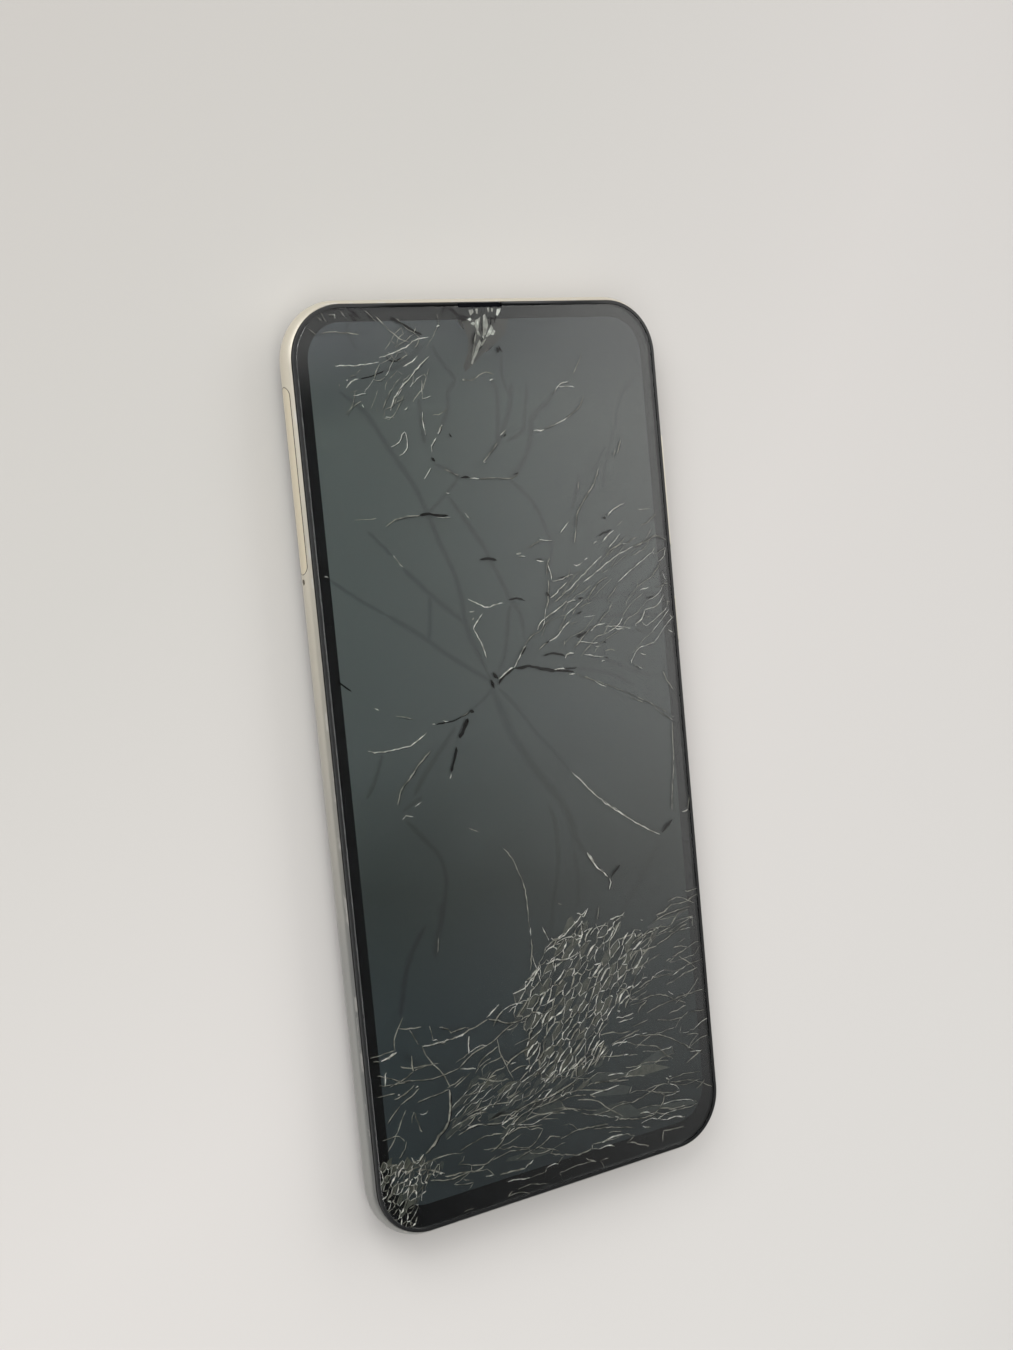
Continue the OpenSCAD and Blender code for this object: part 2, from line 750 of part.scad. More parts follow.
module sim_tray() {
    sim_l = 12.4;
    sim_w = 8.9;
    card_l = 15.1;
    card_w = 11.1;
    web = (tray_w - sim_l - card_l) / 3;
    y0 = tray_y - tray_w / 2;
    pocket_x = tray_in_x + 1;
    card_t = 0.75;
    color("#cfc9b6") difference() {
        union() {
            intersection() {
                frame_body();
                tray_recess(0);
            }
            block(tray_in_x - small, tray_end_x, y0, y0 + tray_w, tray_plate_z, tray_plate_z + tray_t);
        }
        block(pocket_x, pocket_x + sim_w, y0 + web, y0 + web + sim_l, tray_plate_z + tray_t - card_t, far);
        block(pocket_x, pocket_x + card_w, y0 + 2 * web + sim_l, y0 + 2 * web + sim_l + card_l,
            tray_plate_z + tray_t - card_t, far);
        block(pocket_x + 1, pocket_x + sim_w - 1, y0 + web + 1, y0 + web + sim_l - 1, 0, far);
        block(pocket_x + 1, pocket_x + card_w - 1, y0 + 2 * web + sim_l + 1,
            y0 + 2 * web + sim_l + card_l - 1, 0, far);
    }
}

// ---------- battery ----------

module battery() {
    color("#2b2c2f") translate([0, (battery_top + battery_bottom) / 2, 0])
        plate(battery_w, battery_top - battery_bottom, 1.5, battery_z, battery_z + battery_t);
}

module battery_tape() {
    color("#dcdcd6") for (s = [-1, 1])
        block(s * battery_w / 4 - 6, s * battery_w / 4 + 6, battery_bottom + 6, battery_top - 6,
            battery_z + battery_t, web_z);
}

lead_x = [-battery_w / 2 + 6, -battery_w / 2 + 13];
lead_z = 2.35;
module battery_flex() {
    color("#b5702c") block(lead_x[0], lead_x[1], battery_top, board_y + 4, lead_z, lead_z + flex_t);
}

module antenna_cable() {
    y0 = bottom_rib_y - 5;
    y1 = board_y + 3;
    color("#d8d8d4") {
        translate([cable_x, y0, cable_z]) rotate([-90, 0, 0]) cylinder(d = cable_d, h = y1 - y0);
        peg(cable_x, y1, cable_z - 0.2, board_z, 1);
        peg(cable_x, y0, cable_z - 0.2, sub_board_z, 1);
    }
}

// ---------- charging end ----------

sub_board_right = 7.5;
module sub_board() {
    x0 = -bay_x + 1;
    y0 = bay_bottom + 0.4;
    y1 = bottom_rib_y - rib_t - 0.6;
    color("#1f4d3a") difference() {
        within_bay(0.3) {
            block(x0 + 4, sub_board_right, y0, y1, sub_board_z, sub_board_top);
            block(x0 + 4, cable_x + 1.4, y1 - 3.6, y1, sub_board_z, sub_board_top);
        }
        for (p = bottom_screws) peg(p[0], p[1], 0, far, screw_r + 0.2);
        peg(motor_x, motor_y, 0, far, motor_d / 2 + 0.3);
    }
}

module usb_socket() {
    color("#b4b6b6") {
        difference() {
            translate([0, usb_back_y, usb_z]) rotate([90, 0, 0]) linear_extrude(usb_l) rotate(90)
                pill(usb_w + 2 * usb_wall, usb_h + 2 * usb_wall);
            translate([0, usb_back_y - 0.6, usb_z]) rotate([90, 0, 0]) linear_extrude(usb_l) rotate(90)
                pill(usb_w, usb_h);
        }
        block(-3.3, 3.3, usb_front_y + 1, usb_back_y - 0.5, usb_z - 0.35, usb_z + 0.35);
        for (x = [-1, 1]) block(x * 3.4 - 0.6, x * 3.4 + 0.6, usb_back_y - 3, usb_back_y - 1,
            sub_board_top, sub_board_top + 0.35);
    }
}

module main_flex() {
    riser_y = top_rib_y + 0.3;
    w = main_flex_w / 2;
    y0 = bottom_rib_y - 8;
    color("#b5702c") {
        block(-w, w, y0, riser_y + flex_t, main_flex_z, main_flex_z + flex_t);
        block(-w, w, riser_y, riser_y + flex_t, main_flex_z, lead_z + flex_t);
        block(-w, w, riser_y, board_y + 4, lead_z, lead_z + flex_t);
    }
}

module board_connectors() {
    w = main_flex_w / 2 - 1;
    y0 = bottom_rib_y - 8;
    color("#1a1a1a") {
        block(-w, w, board_y + 1, board_y + 3.6, lead_z + flex_t, board_z);
        block(-w, w, y0 + 0.4, y0 + 2.6, main_flex_z + flex_t, sub_board_z);
        block(lead_x[0] + 0.6, lead_x[1] - 0.6, board_y + 1, board_y + 3.6, lead_z + flex_t, board_z);
        block(display_flex_x[0] + 1, display_flex_x[1] - 1, web_slot_y + 4, web_slot_y + 6.6,
            sub_board_top, sub_board_top + 1);
    }
}

speaker_x0 = sub_board_right + 1;
speaker_z = 2.35;
module loudspeaker() {
    x1 = bay_x - 2;
    y0 = bay_bottom + 0.5;
    y1 = bottom_rib_y - rib_t - 5.2;
    color("#1e1f21") difference() {
        within_bay(0.5) block(speaker_x0, x1, y0, y1, speaker_z, web_z - 0.1);
        block(speaker_x0 + 1, x1 - 1, y0 - 1, y0 + 2, usb_z - 0.9, usb_z + 0.9);
    }
}

module speaker_mesh() {
    color("#3c3e3e") block(speaker_hole_x[0] - 1.4, speaker_hole_x[5] + 1.4, bay_bottom, bay_bottom + 0.2,
        web_z - 2, web_z);
}

motor_z = motor_top - motor_t;
base_t = 0.25;
module motor_case() {
    color("#c4c6c6") difference() {
        peg(motor_x, motor_y, motor_z + base_t, motor_top, motor_d / 2);
        peg(motor_x, motor_y, 0, motor_top - motor_wall, motor_d / 2 - motor_wall);
    }
}

module motor_base() {
    color("#a8a49a") {
        peg(motor_x, motor_y, motor_z, motor_z + base_t, motor_d / 2);
        peg(motor_x, motor_y, motor_z, motor_top - motor_wall - 0.05, motor_shaft_r);
    }
}

module motor_rotor() {
    r = motor_d / 2 - motor_wall - rotor_gap;
    z0 = motor_z + base_t + rotor_gap;
    z1 = motor_top - motor_wall - rotor_gap;
    color("#8c8f94") difference() {
        union() {
            intersection() {
                peg(motor_x, motor_y, z0, z1, r);
                block(motor_x - motor_d, motor_x + motor_d, motor_y, motor_y + motor_d, 0, far);
            }
            peg(motor_x, motor_y, z0, z1, motor_shaft_r + 0.6);
        }
        peg(motor_x, motor_y, 0, far, motor_shaft_r + pivot_gap);
    }
}

module microphones() {
    color("#c2b06a") {
        block(mic_hole_x - 1.5, mic_hole_x + 1.5, bay_bottom + 0.6, bay_bottom + 2.8,
            sub_board_top, sub_board_top + 0.95);
        block(top_mic_x - 1.5, top_mic_x + 1.5, board_top - 2.6, board_top - 0.4, board_top_z, board_top_z + 1);
    }
}

// ---------- side keys ----------

module key_cap(y, l) {
    x0 = half_w - key_cap_t;
    rounding = 0.2;
    translate([x0, y, key_z]) rotate([0, 90, 0]) {
        linear_extrude(key_cap_t + key_proud - rounding) pill(l, key_h);
        linear_extrude(key_cap_t + key_proud) pill(l - 2 * rounding, key_h - 2 * rounding);
    }
}

module stem(y) {
    block(bay_x - stem_out, half_w - key_cap_t + small, y - stem_w / 2, y + stem_w / 2,
        stem_z - stem_h / 2, stem_z + stem_h / 2);
}

module volume_rocker() {
    color("#cfc9b6") {
        key_cap(rocker_y, rocker_l);
        stem(stem_ys[0]);
        stem(stem_ys[1]);
    }
}

module power_button() {
    color("#cfc9b6") {
        key_cap(power_y, power_l);
        stem(stem_ys[2]);
    }
}

module key_switches() {
    color("#d0d2d4") for (y = stem_ys)
        block(dome_x - dome_t, dome_x, y - 1.5, y + 1.5, stem_z - 1.1, web_z);
}

key_strip_y = [power_y - 5, rocker_y + rocker_l / 2 + 1];
module key_flex() {
    x1 = dome_x - dome_t;
    color("#b5702c") block(x1 - key_flex_t, x1, key_strip_y[0] + 0.5, key_strip_y[1] - 0.5, stem_z - 1.3, web_z);
}

module key_bracket() {
    x1 = dome_x - dome_t - key_flex_t;
    color("#b9bcbe") block(x1 - key_bracket_t, x1, key_strip_y[0], key_strip_y[1], stem_z - 1.5, web_z);
}

// ---------- brackets and screws ----------

module top_bracket() {
    x0 = -half_room(bracket_z - 0.15) + 0.6;
    y0 = board_y + 5.4;
    y1 = board_top - 1;
    color("#202224") difference() {
        union() {
            block(x0, board_right, y0, y1, bracket_z, bracket_z + bracket_t);
            for (p = top_screws) peg(p[0], p[1], bracket_z, board_z, post_r);
        }
        for (p = top_screws) {
            peg(p[0], p[1], 0, far, screw_r + 0.1);
            peg(p[0], p[1], 0, bracket_z + screw_head_t, screw_head_r + 0.1);
        }
        translate([0, 0, -1]) linear_extrude(1 + ring_sunk + cover_t + 0.6) camera_hole_outline(0.15);
    }
}

module bottom_bracket() {
    x = board_screw[0];
    y = board_screw[1];
    z1 = bracket_z + bracket_t;
    color("#202224") difference() {
        union() {
            block(motor_x + motor_d / 2 + 1.4, sub_board_right - 1, bay_bottom + 1.4,
                bottom_rib_y - 9.5, bracket_z, z1);
            block(x - 2, x + 2, bottom_rib_y - 10, y + 2, bracket_z, z1);
            peg(x, y, bracket_z, sub_board_z, post_r);
            block(-14, -10, bay_bottom + 3, bay_bottom + 7, bracket_z, sub_board_z);
        }
        peg(x, y, 0, far, screw_r + 0.1);
        peg(x, y, 0, bracket_z + screw_head_t, screw_head_r + 0.1);
    }
}

module screw(p, head_z, tip_z) {
    difference() {
        peg(p[0], p[1], head_z, head_z + screw_head_t, screw_head_r);
        for (a = [0, 90]) translate([p[0], p[1], head_z]) rotate(a) cube([1.3, 0.3, 0.4], center = true);
    }
    peg(p[0], p[1], head_z + screw_head_t - small, tip_z, screw_r);
}

module screws() {
    color("#8f8b84") {
        for (p = top_screws) screw(p, bracket_z, web_z - 0.4);
        screw(board_screw, bracket_z, web_z - 0.4);
        for (p = [bottom_screws[0], bottom_screws[1]])
            screw(p, sub_board_z - screw_head_t, web_z - 0.4);
    }
}

cover_glass();
display_panel();
panel_cushion();
screen_tape();
display_flex();
earpiece_mesh();
mid_frame();
rear_cover();
cover_adhesive();
camera_ring();
camera_window();
flash_lens();
flash_led();
main_camera();
main_lens();
wide_camera();
depth_camera();
front_camera();
earpiece_speaker();
proximity_sensor();
mainboard();
processor();
memory_chip();
power_chip();
radio_chip();
shield_can();
sim_reader();
eject_rod();
eject_lever();
sim_tray();
battery();
battery_tape();
battery_flex();
sub_board();
usb_socket();
main_flex();
antenna_cable();
loudspeaker();
speaker_mesh();
motor_case();
motor_base();
motor_rotor();
microphones();
board_connectors();
volume_rocker();
power_button();
key_switches();
key_flex();
key_bracket();
top_bracket();
bottom_bracket();
screws();
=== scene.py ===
# Bar phone with a shattered front glass, lying flat on its back on a pale table.
import math
import random

import bmesh
import bpy
from mathutils import Matrix, Vector
from mathutils.geometry import delaunay_2d_cdt


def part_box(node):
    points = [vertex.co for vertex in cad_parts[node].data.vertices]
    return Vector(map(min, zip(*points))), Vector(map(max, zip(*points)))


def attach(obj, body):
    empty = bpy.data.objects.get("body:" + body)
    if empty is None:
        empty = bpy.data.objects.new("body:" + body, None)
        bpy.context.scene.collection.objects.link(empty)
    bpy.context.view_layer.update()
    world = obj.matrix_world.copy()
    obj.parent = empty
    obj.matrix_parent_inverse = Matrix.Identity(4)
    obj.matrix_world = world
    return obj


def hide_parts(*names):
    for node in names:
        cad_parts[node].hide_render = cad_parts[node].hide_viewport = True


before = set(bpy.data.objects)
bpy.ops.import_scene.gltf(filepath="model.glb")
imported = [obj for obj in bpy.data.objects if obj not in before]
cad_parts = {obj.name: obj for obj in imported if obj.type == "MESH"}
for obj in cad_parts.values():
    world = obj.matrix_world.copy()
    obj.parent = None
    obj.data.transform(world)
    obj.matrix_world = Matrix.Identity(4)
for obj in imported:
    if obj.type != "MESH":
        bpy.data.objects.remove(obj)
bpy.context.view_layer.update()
mm = 0.001
chance = random.Random(7)

# where the camera stands, in metres, and how it is turned
view = {
    "place": (-0.1599, 0.0403, 0.2669),
    "right": (0.845365, -0.092937, 0.526042),
    "up": (0.123927, 0.992004, -0.023895),
    "lens": 46.27,
    "sensor": 36,  # its height, mm
}


def placeCamera(how):
    lens = bpy.data.cameras.new("viewLens")
    lens.sensor_fit = "VERTICAL"
    lens.sensor_height = how["sensor"]
    lens.lens = how["lens"]
    lens.clip_start = 0.01
    holder = bpy.data.objects.new("viewCamera", lens)
    bpy.context.collection.objects.link(holder)
    right = Vector(how["right"]).normalized()
    up = Vector(how["up"])
    back = right.cross(up).normalized()
    up = back.cross(right)
    turn = Matrix((right, up, back)).transposed().to_4x4()
    holder.matrix_world = Matrix.Translation(how["place"]) @ turn
    bpy.context.scene.camera = holder


placeCamera(view)
bpy.context.scene.view_settings.view_transform = "Standard"
print("camera placed")


def colour(code):
    # linear colour of an sRGB hex value
    parts = [int(code[i:i + 2], 16) / 255 for i in (0, 2, 4)]
    return tuple(p / 12.92 if p <= 0.04045 else ((p + 0.055) / 1.055) ** 2.4 for p in parts) + (1.0,)


def node(tree, kind, settings=None, links=None):
    made = tree.nodes.new("ShaderNode" + kind)
    for key, value in (settings or {}).items():
        if isinstance(key, int) or key in made.inputs:
            made.inputs[key].default_value = value
        else:
            setattr(made, key, value)
    for key, (source, outlet) in (links or {}).items():
        tree.links.new(source.outputs[outlet], made.inputs[key])
    return made


def blankMaterial(name):
    made = bpy.data.materials.new(name)
    made.use_nodes = True
    tree = made.node_tree
    tree.nodes.clear()
    shader = node(tree, "BsdfPrincipled")
    node(tree, "OutputMaterial", links={0: (shader, 0)})
    made.diffuse_color = (0.5, 0.5, 0.5, 1)
    return made, tree, shader


def ramp(tree, source, outlet, stops):
    # each stop is a place and its shade, as a hex value or as a number for a grey
    made = node(tree, "ValToRGB", links={"Fac": (source, outlet)})
    band = made.color_ramp
    while len(band.elements) < len(stops):
        band.elements.new(0.5)
    for element, (place, shade) in zip(band.elements, stops):
        element.position = place
        element.color = colour(shade) if isinstance(shade, str) else (shade, shade, shade, 1)
    return made


def grain(tree, sizeMm, detail=3.0, stretch=(1, 1, 1)):
    # noise whose blobs are about sizeMm across
    spot = node(tree, "TexCoord")
    turned = node(tree, "Mapping", {"Scale": stretch}, {"Vector": (spot, "Object")})
    return node(tree, "TexNoise", {"Scale": 1000 / sizeMm, "Detail": detail}, {"Vector": (turned, 0)})


def alongPhone(tree, sizeMm, swayMm):
    # the axes, and the place along the phone with an edge that wanders by swayMm
    spot = node(tree, "TexCoord")
    axes = node(tree, "SeparateXYZ", links={"Vector": (spot, "Object")})
    drift = node(tree, "Math", {"operation": "MULTIPLY_ADD", 1: 2 * swayMm * mm, 2: -swayMm * mm},
                 {0: (grain(tree, sizeMm, 2.0), 0)})
    return axes, node(tree, "Math", {"operation": "ADD"}, {0: (axes, 1), 1: (drift, 0)})


def plainFinish(name, dark, light, sizeMm, rough, metal=0.0, bump=0.0, stretch=(1, 1, 1), spread=0.06,
                **more):
    # a finish whose tone wanders between two shades, with its gloss and relief in step
    made, tree, shader = blankMaterial(name)
    speck = grain(tree, sizeMm, 4.0, stretch)
    tone = ramp(tree, speck, 0, [(0.35, dark), (0.65, light)])
    gloss = ramp(tree, speck, 0, [(0.3, rough - spread), (0.7, rough + spread)])
    tree.links.new(tone.outputs[0], shader.inputs["Base Color"])
    tree.links.new(gloss.outputs[0], shader.inputs["Roughness"])
    shader.inputs["Metallic"].default_value = metal
    if bump:
        relief = node(tree, "Bump", {"Strength": 0.5, "Distance": bump * mm}, {"Height": (speck, 0)})
        tree.links.new(relief.outputs[0], shader.inputs["Normal"])
    for key, value in more.items():
        shader.inputs[key.replace("_", " ")].default_value = value
    return made


frameWearAndShade = {
    "shadedEnd": (-32, 52),  # along the phone, mm: painted shade, grey up to the first and clean past the second
    "sway": 8,
    "rim": (7.1, 7.6),  # heights over which the scuffs come in, mm
    "seam": (3.6, 3.0),  # and the grime with painted shade, downwards
    "bare": "e6e4de",
    "grimeAndShade": "6b665c",
}


def stainAndShade(tree, under, axes, heights, patchy, code):
    # another colour over the tone under it, between two heights and where the noise is high: bare scuffs, and
    # grime with painted shade
    low, high = heights
    level = node(tree, "MapRange", {"From Min": low * mm, "From Max": high * mm}, {"Value": (axes, 2)})
    share = node(tree, "Math", {"operation": "MULTIPLY"}, {0: (level, 0), 1: (patchy, 0)})
    return node(tree, "Mix", {"data_type": "RGBA", "B": colour(code)}, {"Factor": (share, 0), "A": under})


def anodisedAluminium(name, clean, shadedEnd, how):
    # pale anodise over a fine blast: satin, with bare scuffs near the rim, grime and painted shade from the
    # seam downwards, and painted shade that dulls it to grey towards the charging end
    made, tree, shader = blankMaterial(name)
    axes, along = alongPhone(tree, 9.0, how["sway"])
    low, high = how["shadedEnd"]
    # painted shade: grey towards the charging end, clean towards the earpiece
    shadedTo = node(tree, "MapRange", {"From Min": low * mm, "From Max": high * mm}, {"Value": (along, 0)})
    tone = ramp(tree, shadedTo, 0, [(0.0, shadedEnd), (1.0, clean)])
    scuff = ramp(tree, grain(tree, 1.4, 6.0, (1, 0.35, 1)), 0, [(0.56, 0), (0.62, 1)])
    bare = stainAndShade(tree, (tone, 0), axes, how["rim"], scuff, how["bare"])
    # grime mottled with painted shade, from the seam downwards
    grimeShadeMask = ramp(tree, grain(tree, 2.0, 5.0), 0, [(0.45, 0), (0.75, 0.6)])
    grimedAndShaded = stainAndShade(tree, (bare, 2), axes, how["seam"], grimeShadeMask, how["grimeAndShade"])
    fine = grain(tree, 0.25, 5.0)
    rough = ramp(tree, fine, 0, [(0.3, 0.3), (0.7, 0.42)])
    relief = node(tree, "Bump", {"Strength": 0.15, "Distance": 0.01 * mm}, {"Height": (fine, 0)})
    tree.links.new(grimedAndShaded.outputs[2], shader.inputs["Base Color"])
    tree.links.new(rough.outputs[0], shader.inputs["Roughness"])
    tree.links.new(relief.outputs[0], shader.inputs["Normal"])
    shader.inputs["Metallic"].default_value = 0.9
    return made


def toughenedGlass():
    # clear polished glass: only its gloss and a faint grey show over the display
    made, tree, shader = blankMaterial("toughened_glass_clear")
    smear = ramp(tree, grain(tree, 14.0, 3.0), 0, [(0.3, 0.025), (0.7, 0.045)])
    tree.links.new(smear.outputs[0], shader.inputs["Roughness"])
    shader.inputs["Base Color"].default_value = colour("eef2f0")
    shader.inputs["Transmission Weight"].default_value = 1.0
    shader.inputs["IOR"].default_value = 1.5
    return made


display = {
    "places": (0.0, 0.2, 0.36, 0.52, 0.88, 1.0),  # of the shades, from the charging end to the earpiece
    "plain": ("3a4145", "40494d", "434948", "626869", "6a706f", "4a4f55"),
    "crack": ("31373b", "373e42", "3a3f3e", "575b5c", "5e6262", "414549"),
    "soft": ("353c40", "3c4448", "3f4544", "5d6263", "646a69", "464a50"),
    "right": 0.5,  # painted shade: share of the tone that is left at the right side
}


def displayStack(name, how, shades):
    # switched-off display under its polariser, green-grey and bluer to the earpiece end, with painted shade
    # over it:
    # darker towards the charging end, where it is nearly black, towards the right side, and at the very
    # earpiece end; its edges wander slowly
    made, tree, shader = blankMaterial(name)
    axes, along = alongPhone(tree, 30.0, 12)
    place = node(tree, "MapRange", {"From Min": -78 * mm, "From Max": 78 * mm}, {"Value": (along, 0)})
    tone = ramp(tree, place, 0, list(zip(how["places"], how[shades])))
    # painted shade: the display darkens towards its right side
    aside = node(tree, "MapRange", {"From Min": -34 * mm, "From Max": 34 * mm, "To Min": 1.0,
                                    "To Max": how["right"]}, {"Value": (axes, 0)})
    faded = node(tree, "VectorMath", {"operation": "SCALE"}, {0: (tone, 0), "Scale": (aside, 0)})
    tree.links.new(faded.outputs[0], shader.inputs["Base Color"])
    shader.inputs["Roughness"].default_value = 0.6
    shader.inputs["Specular IOR Level"].default_value = 0.1
    return made


anodised = anodisedAluminium("anodised_aluminium_pale", "e2dccd", "a3a4a2", frameWearAndShade)
trayAnodised = anodisedAluminium("anodised_aluminium_cream", "eae1cc", "dcd2ba", frameWearAndShade)
clearGlass = toughenedGlass()
displayFace = displayStack("display_polariser_off", display, "plain")
crackShade = displayStack("crack_shade_under_glass", display, "crack")
softShade = displayStack("crack_shade_soft", display, "soft")
# moulded plastic, half matt
bezelPlastic = plainFinish("bezel_plastic_black", "0e0f10", "191a1b", 0.5, 0.42, bump=0.01)
# fired print behind the glass, which gives it all its gloss
blackPrint = plainFinish("black_enamel_print", "0c0d10", "121316", 3.0, 0.35, Specular_IOR_Level=0.0)
# fractured glass shows whitish, and its lines carry painted highlights: the brightest stand for fracture
# faces that catch the light, the pale ones for those that catch less
glintEdgePaint = plainFinish("fractured_glass_bright", "97968b", "fffdf6", 1.3, 0.22)
paleEdge = plainFinish("fractured_glass_pale", "5e5e56", "b0ada0", 1.8, 0.28)
shardFace = plainFinish("glass_shard_facets", "8d8a82", "bdbab1", 0.9, 0.2)
# a gap in the glass returns no light, and its edge throws a thin shadow
openCrack = plainFinish("open_crack_black", "020303", "060707", 0.6, 0.6, Specular_IOR_Level=0.0)
hairShade = plainFinish("crack_shadow_hair", "0d1011", "1d2122", 1.1, 0.6, Specular_IOR_Level=0.1)
# crushed glass veils the display with a fine grey powder, and the lighter cells are a painted sheen of flakes
# that catch the light
dimVeil = plainFinish("crazed_glass_veil_dim", "373c3c", "434845", 1.2, 0.5)
lightVeil = plainFinish("crazed_glass_veil_light", "45473f", "5f5f54", 0.9, 0.45)
bareBack = plainFinish("parted_polariser_warm_grey", "2f2c29", "3f3b37", 2.4, 0.5)
# a painted shadow for the gap round the tray's face
gapShadowPaint = plainFinish("painted_gap_shadow", "37332b", "59534a", 0.7, 0.85)
print("materials ready")

# a slope below is a direction's run over its rise, to the right or towards the earpiece
stageLook = {
    # the table's shade by distance from the near lamp, m
    "floor": [(0.16, "a6a39f"), (0.25, "b9b7b3"), (0.34, "d0cdca"), (0.48, "dedcd9")],
    "dim": 0.03,  # the dark side of the room
    "wall": 1.82,  # how much the pale wall on the right adds
    "wallRise": (0.43, 0.82),  # slopes over which it comes in
    "wallFade": (1.2, 4.0),  # and over which it dims to a share of itself
    "wallLeft": 0.4,
    "wallEnd": (-0.72, 0.17),
    "top": 0.88,  # the pale wall beyond the earpiece
    "topRise": (0.075, 0.135),
    "behind": 0.34,  # the room seen directly, as pale as the table's far end
    "near": 0.95,  # small soft lamp over the earpiece end, W
    "nearPlace": (-0.2, 0.25, 0.25),
    "wide": 5.4,  # broad one high over the table
}


def layFloor(how):
    bm = bmesh.new()
    bmesh.ops.create_grid(bm, x_segments=1, y_segments=1, size=3)
    mesh = bpy.data.meshes.new("tableTop")
    bm.to_mesh(mesh)
    bm.free()
    floor = bpy.data.objects.new("tableTop", mesh)
    bpy.context.collection.objects.link(floor)
    # matt painted board, a little darker where the near lamp stands over it
    made, tree, shader = blankMaterial("painted_board_pale")
    spot = node(tree, "TexCoord")
    under = how["nearPlace"][:2] + (0,)
    away = node(tree, "VectorMath", {"operation": "DISTANCE", 1: under}, {0: (spot, "Object")})
    tone = ramp(tree, away, "Value", how["floor"])
    tree.links.new(tone.outputs[0], shader.inputs["Base Color"])
    shader.inputs["Roughness"].default_value = 0.8
    mesh.materials.append(made)


def hangLight(name, place, target, size, power):
    lamp = bpy.data.lights.new(name, "AREA")
    lamp.shape = "SQUARE"
    lamp.size = size
    lamp.energy = power
    holder = bpy.data.objects.new(name, lamp)
    bpy.context.collection.objects.link(holder)
    holder.location = place
    holder.rotation_euler = (Vector(target) - Vector(place)).to_track_quat("-Z", "Y").to_euler()


def lightStage(how):
    # a dim room with a pale wall on the right and one at the end, both with soft edges, so that the glass
    # mirrors a slow gradient
    world = bpy.data.worlds.new("studioAir")
    bpy.context.scene.world = world
    world.use_nodes = True
    tree = world.node_tree
    tree.nodes.clear()
    spot = node(tree, "TexCoord")
    axes = node(tree, "SeparateXYZ", links={"Vector": (spot, "Generated")})
    height = node(tree, "Math", {"operation": "MAXIMUM", 1: 0.05}, {0: (axes, 2)})
    across = node(tree, "Math", {"operation": "DIVIDE"}, {0: (axes, 0), 1: (height, 0)})
    along = node(tree, "Math", {"operation": "DIVIDE"}, {0: (axes, 1), 1: (height, 0)})
    soft = {"interpolation_type": "SMOOTHSTEP"}
    low, high = how["wallRise"]
    rise = node(tree, "MapRange", {**soft, "From Min": low, "From Max": high}, {"Value": (across, 0)})
    low, high = how["wallEnd"]
    end = node(tree, "MapRange", {**soft, "From Min": low, "From Max": high}, {"Value": (along, 0)})
    low, high = how["topRise"]
    top = node(tree, "MapRange", {**soft, "From Min": low, "From Max": high, "To Max": how["top"]},
               {"Value": (along, 0)})
    low, high = how["wallFade"]
    fade = node(tree, "MapRange", {"From Min": low, "From Max": high, "To Min": 1.0,
                                   "To Max": how["wallLeft"]}, {"Value": (across, 0)})
    first = node(tree, "Math", {"operation": "MULTIPLY"}, {0: (rise, 0), 1: (end, 0)})
    both = node(tree, "Math", {"operation": "MULTIPLY"}, {0: (first, 0), 1: (fade, 0)})
    wall = node(tree, "Math", {"operation": "MULTIPLY_ADD", 1: how["wall"], 2: how["dim"]}, {0: (both, 0)})
    level = node(tree, "Math", {"operation": "SMOOTH_MAX", 2: 0.3}, {0: (wall, 0), 1: (top, 0)})
    seen = node(tree, "LightPath")
    shown = node(tree, "Mix", {"data_type": "FLOAT", "B": how["behind"]},
                 {"Factor": (seen, "Is Camera Ray"), "A": (level, 0)})
    air = node(tree, "Background", {"Color": (1, 0.985, 0.965, 1)}, {"Strength": (shown, 0)})
    node(tree, "OutputWorld", links={0: (air, 0)})
    hangLight("nearLamp", how["nearPlace"], (-0.02, 0.03, 0), 0.24, how["near"])
    hangLight("wideLamp", (-0.5, -0.3, 0.9), (0, 0, 0), 0.9, how["wide"])


layFloor(stageLook)
lightStage(stageLook)
print("stage lit")


def finishPiece(name, bm, material, smoothAngle=35, faceUp=False):
    bmesh.ops.remove_doubles(bm, verts=bm.verts, dist=0.0005 * mm)
    bmesh.ops.recalc_face_normals(bm, faces=bm.faces)
    if faceUp:
        bmesh.ops.reverse_faces(bm, faces=[f for f in bm.faces if f.normal.z < 0])
    mesh = bpy.data.meshes.new(name)
    bm.to_mesh(mesh)
    bm.free()
    piece = bpy.data.objects.new(name, mesh)
    bpy.context.collection.objects.link(piece)
    mesh.materials.append(material)
    smoothFaces(mesh, smoothAngle)
    return piece


def smoothFaces(mesh, angle=35):
    mesh.polygons.foreach_set("use_smooth", [True] * len(mesh.polygons))
    mesh.set_sharp_from_angle(angle=math.radians(angle))


def evaluatedMesh(thing):
    bpy.context.view_layer.update()
    return bpy.data.meshes.new_from_object(thing.evaluated_get(bpy.context.evaluated_depsgraph_get()))


def curveMesh(shape):
    # what the curve looks like when it is swept or filled, as a bmesh
    tool = bpy.data.objects.new(shape.name, shape)
    bpy.context.collection.objects.link(tool)
    mesh = evaluatedMesh(tool)
    bpy.data.objects.remove(tool)
    bm = bmesh.new()
    bm.from_mesh(mesh)
    bpy.data.meshes.remove(mesh)
    return bm


def plainBox(low, high):
    bm = bmesh.new()
    bmesh.ops.create_cube(bm, size=1)
    bmesh.ops.scale(bm, vec=[b - a for a, b in zip(low, high)], verts=bm.verts)
    bmesh.ops.translate(bm, vec=[(a + b) / 2 for a, b in zip(low, high)], verts=bm.verts)
    return bm


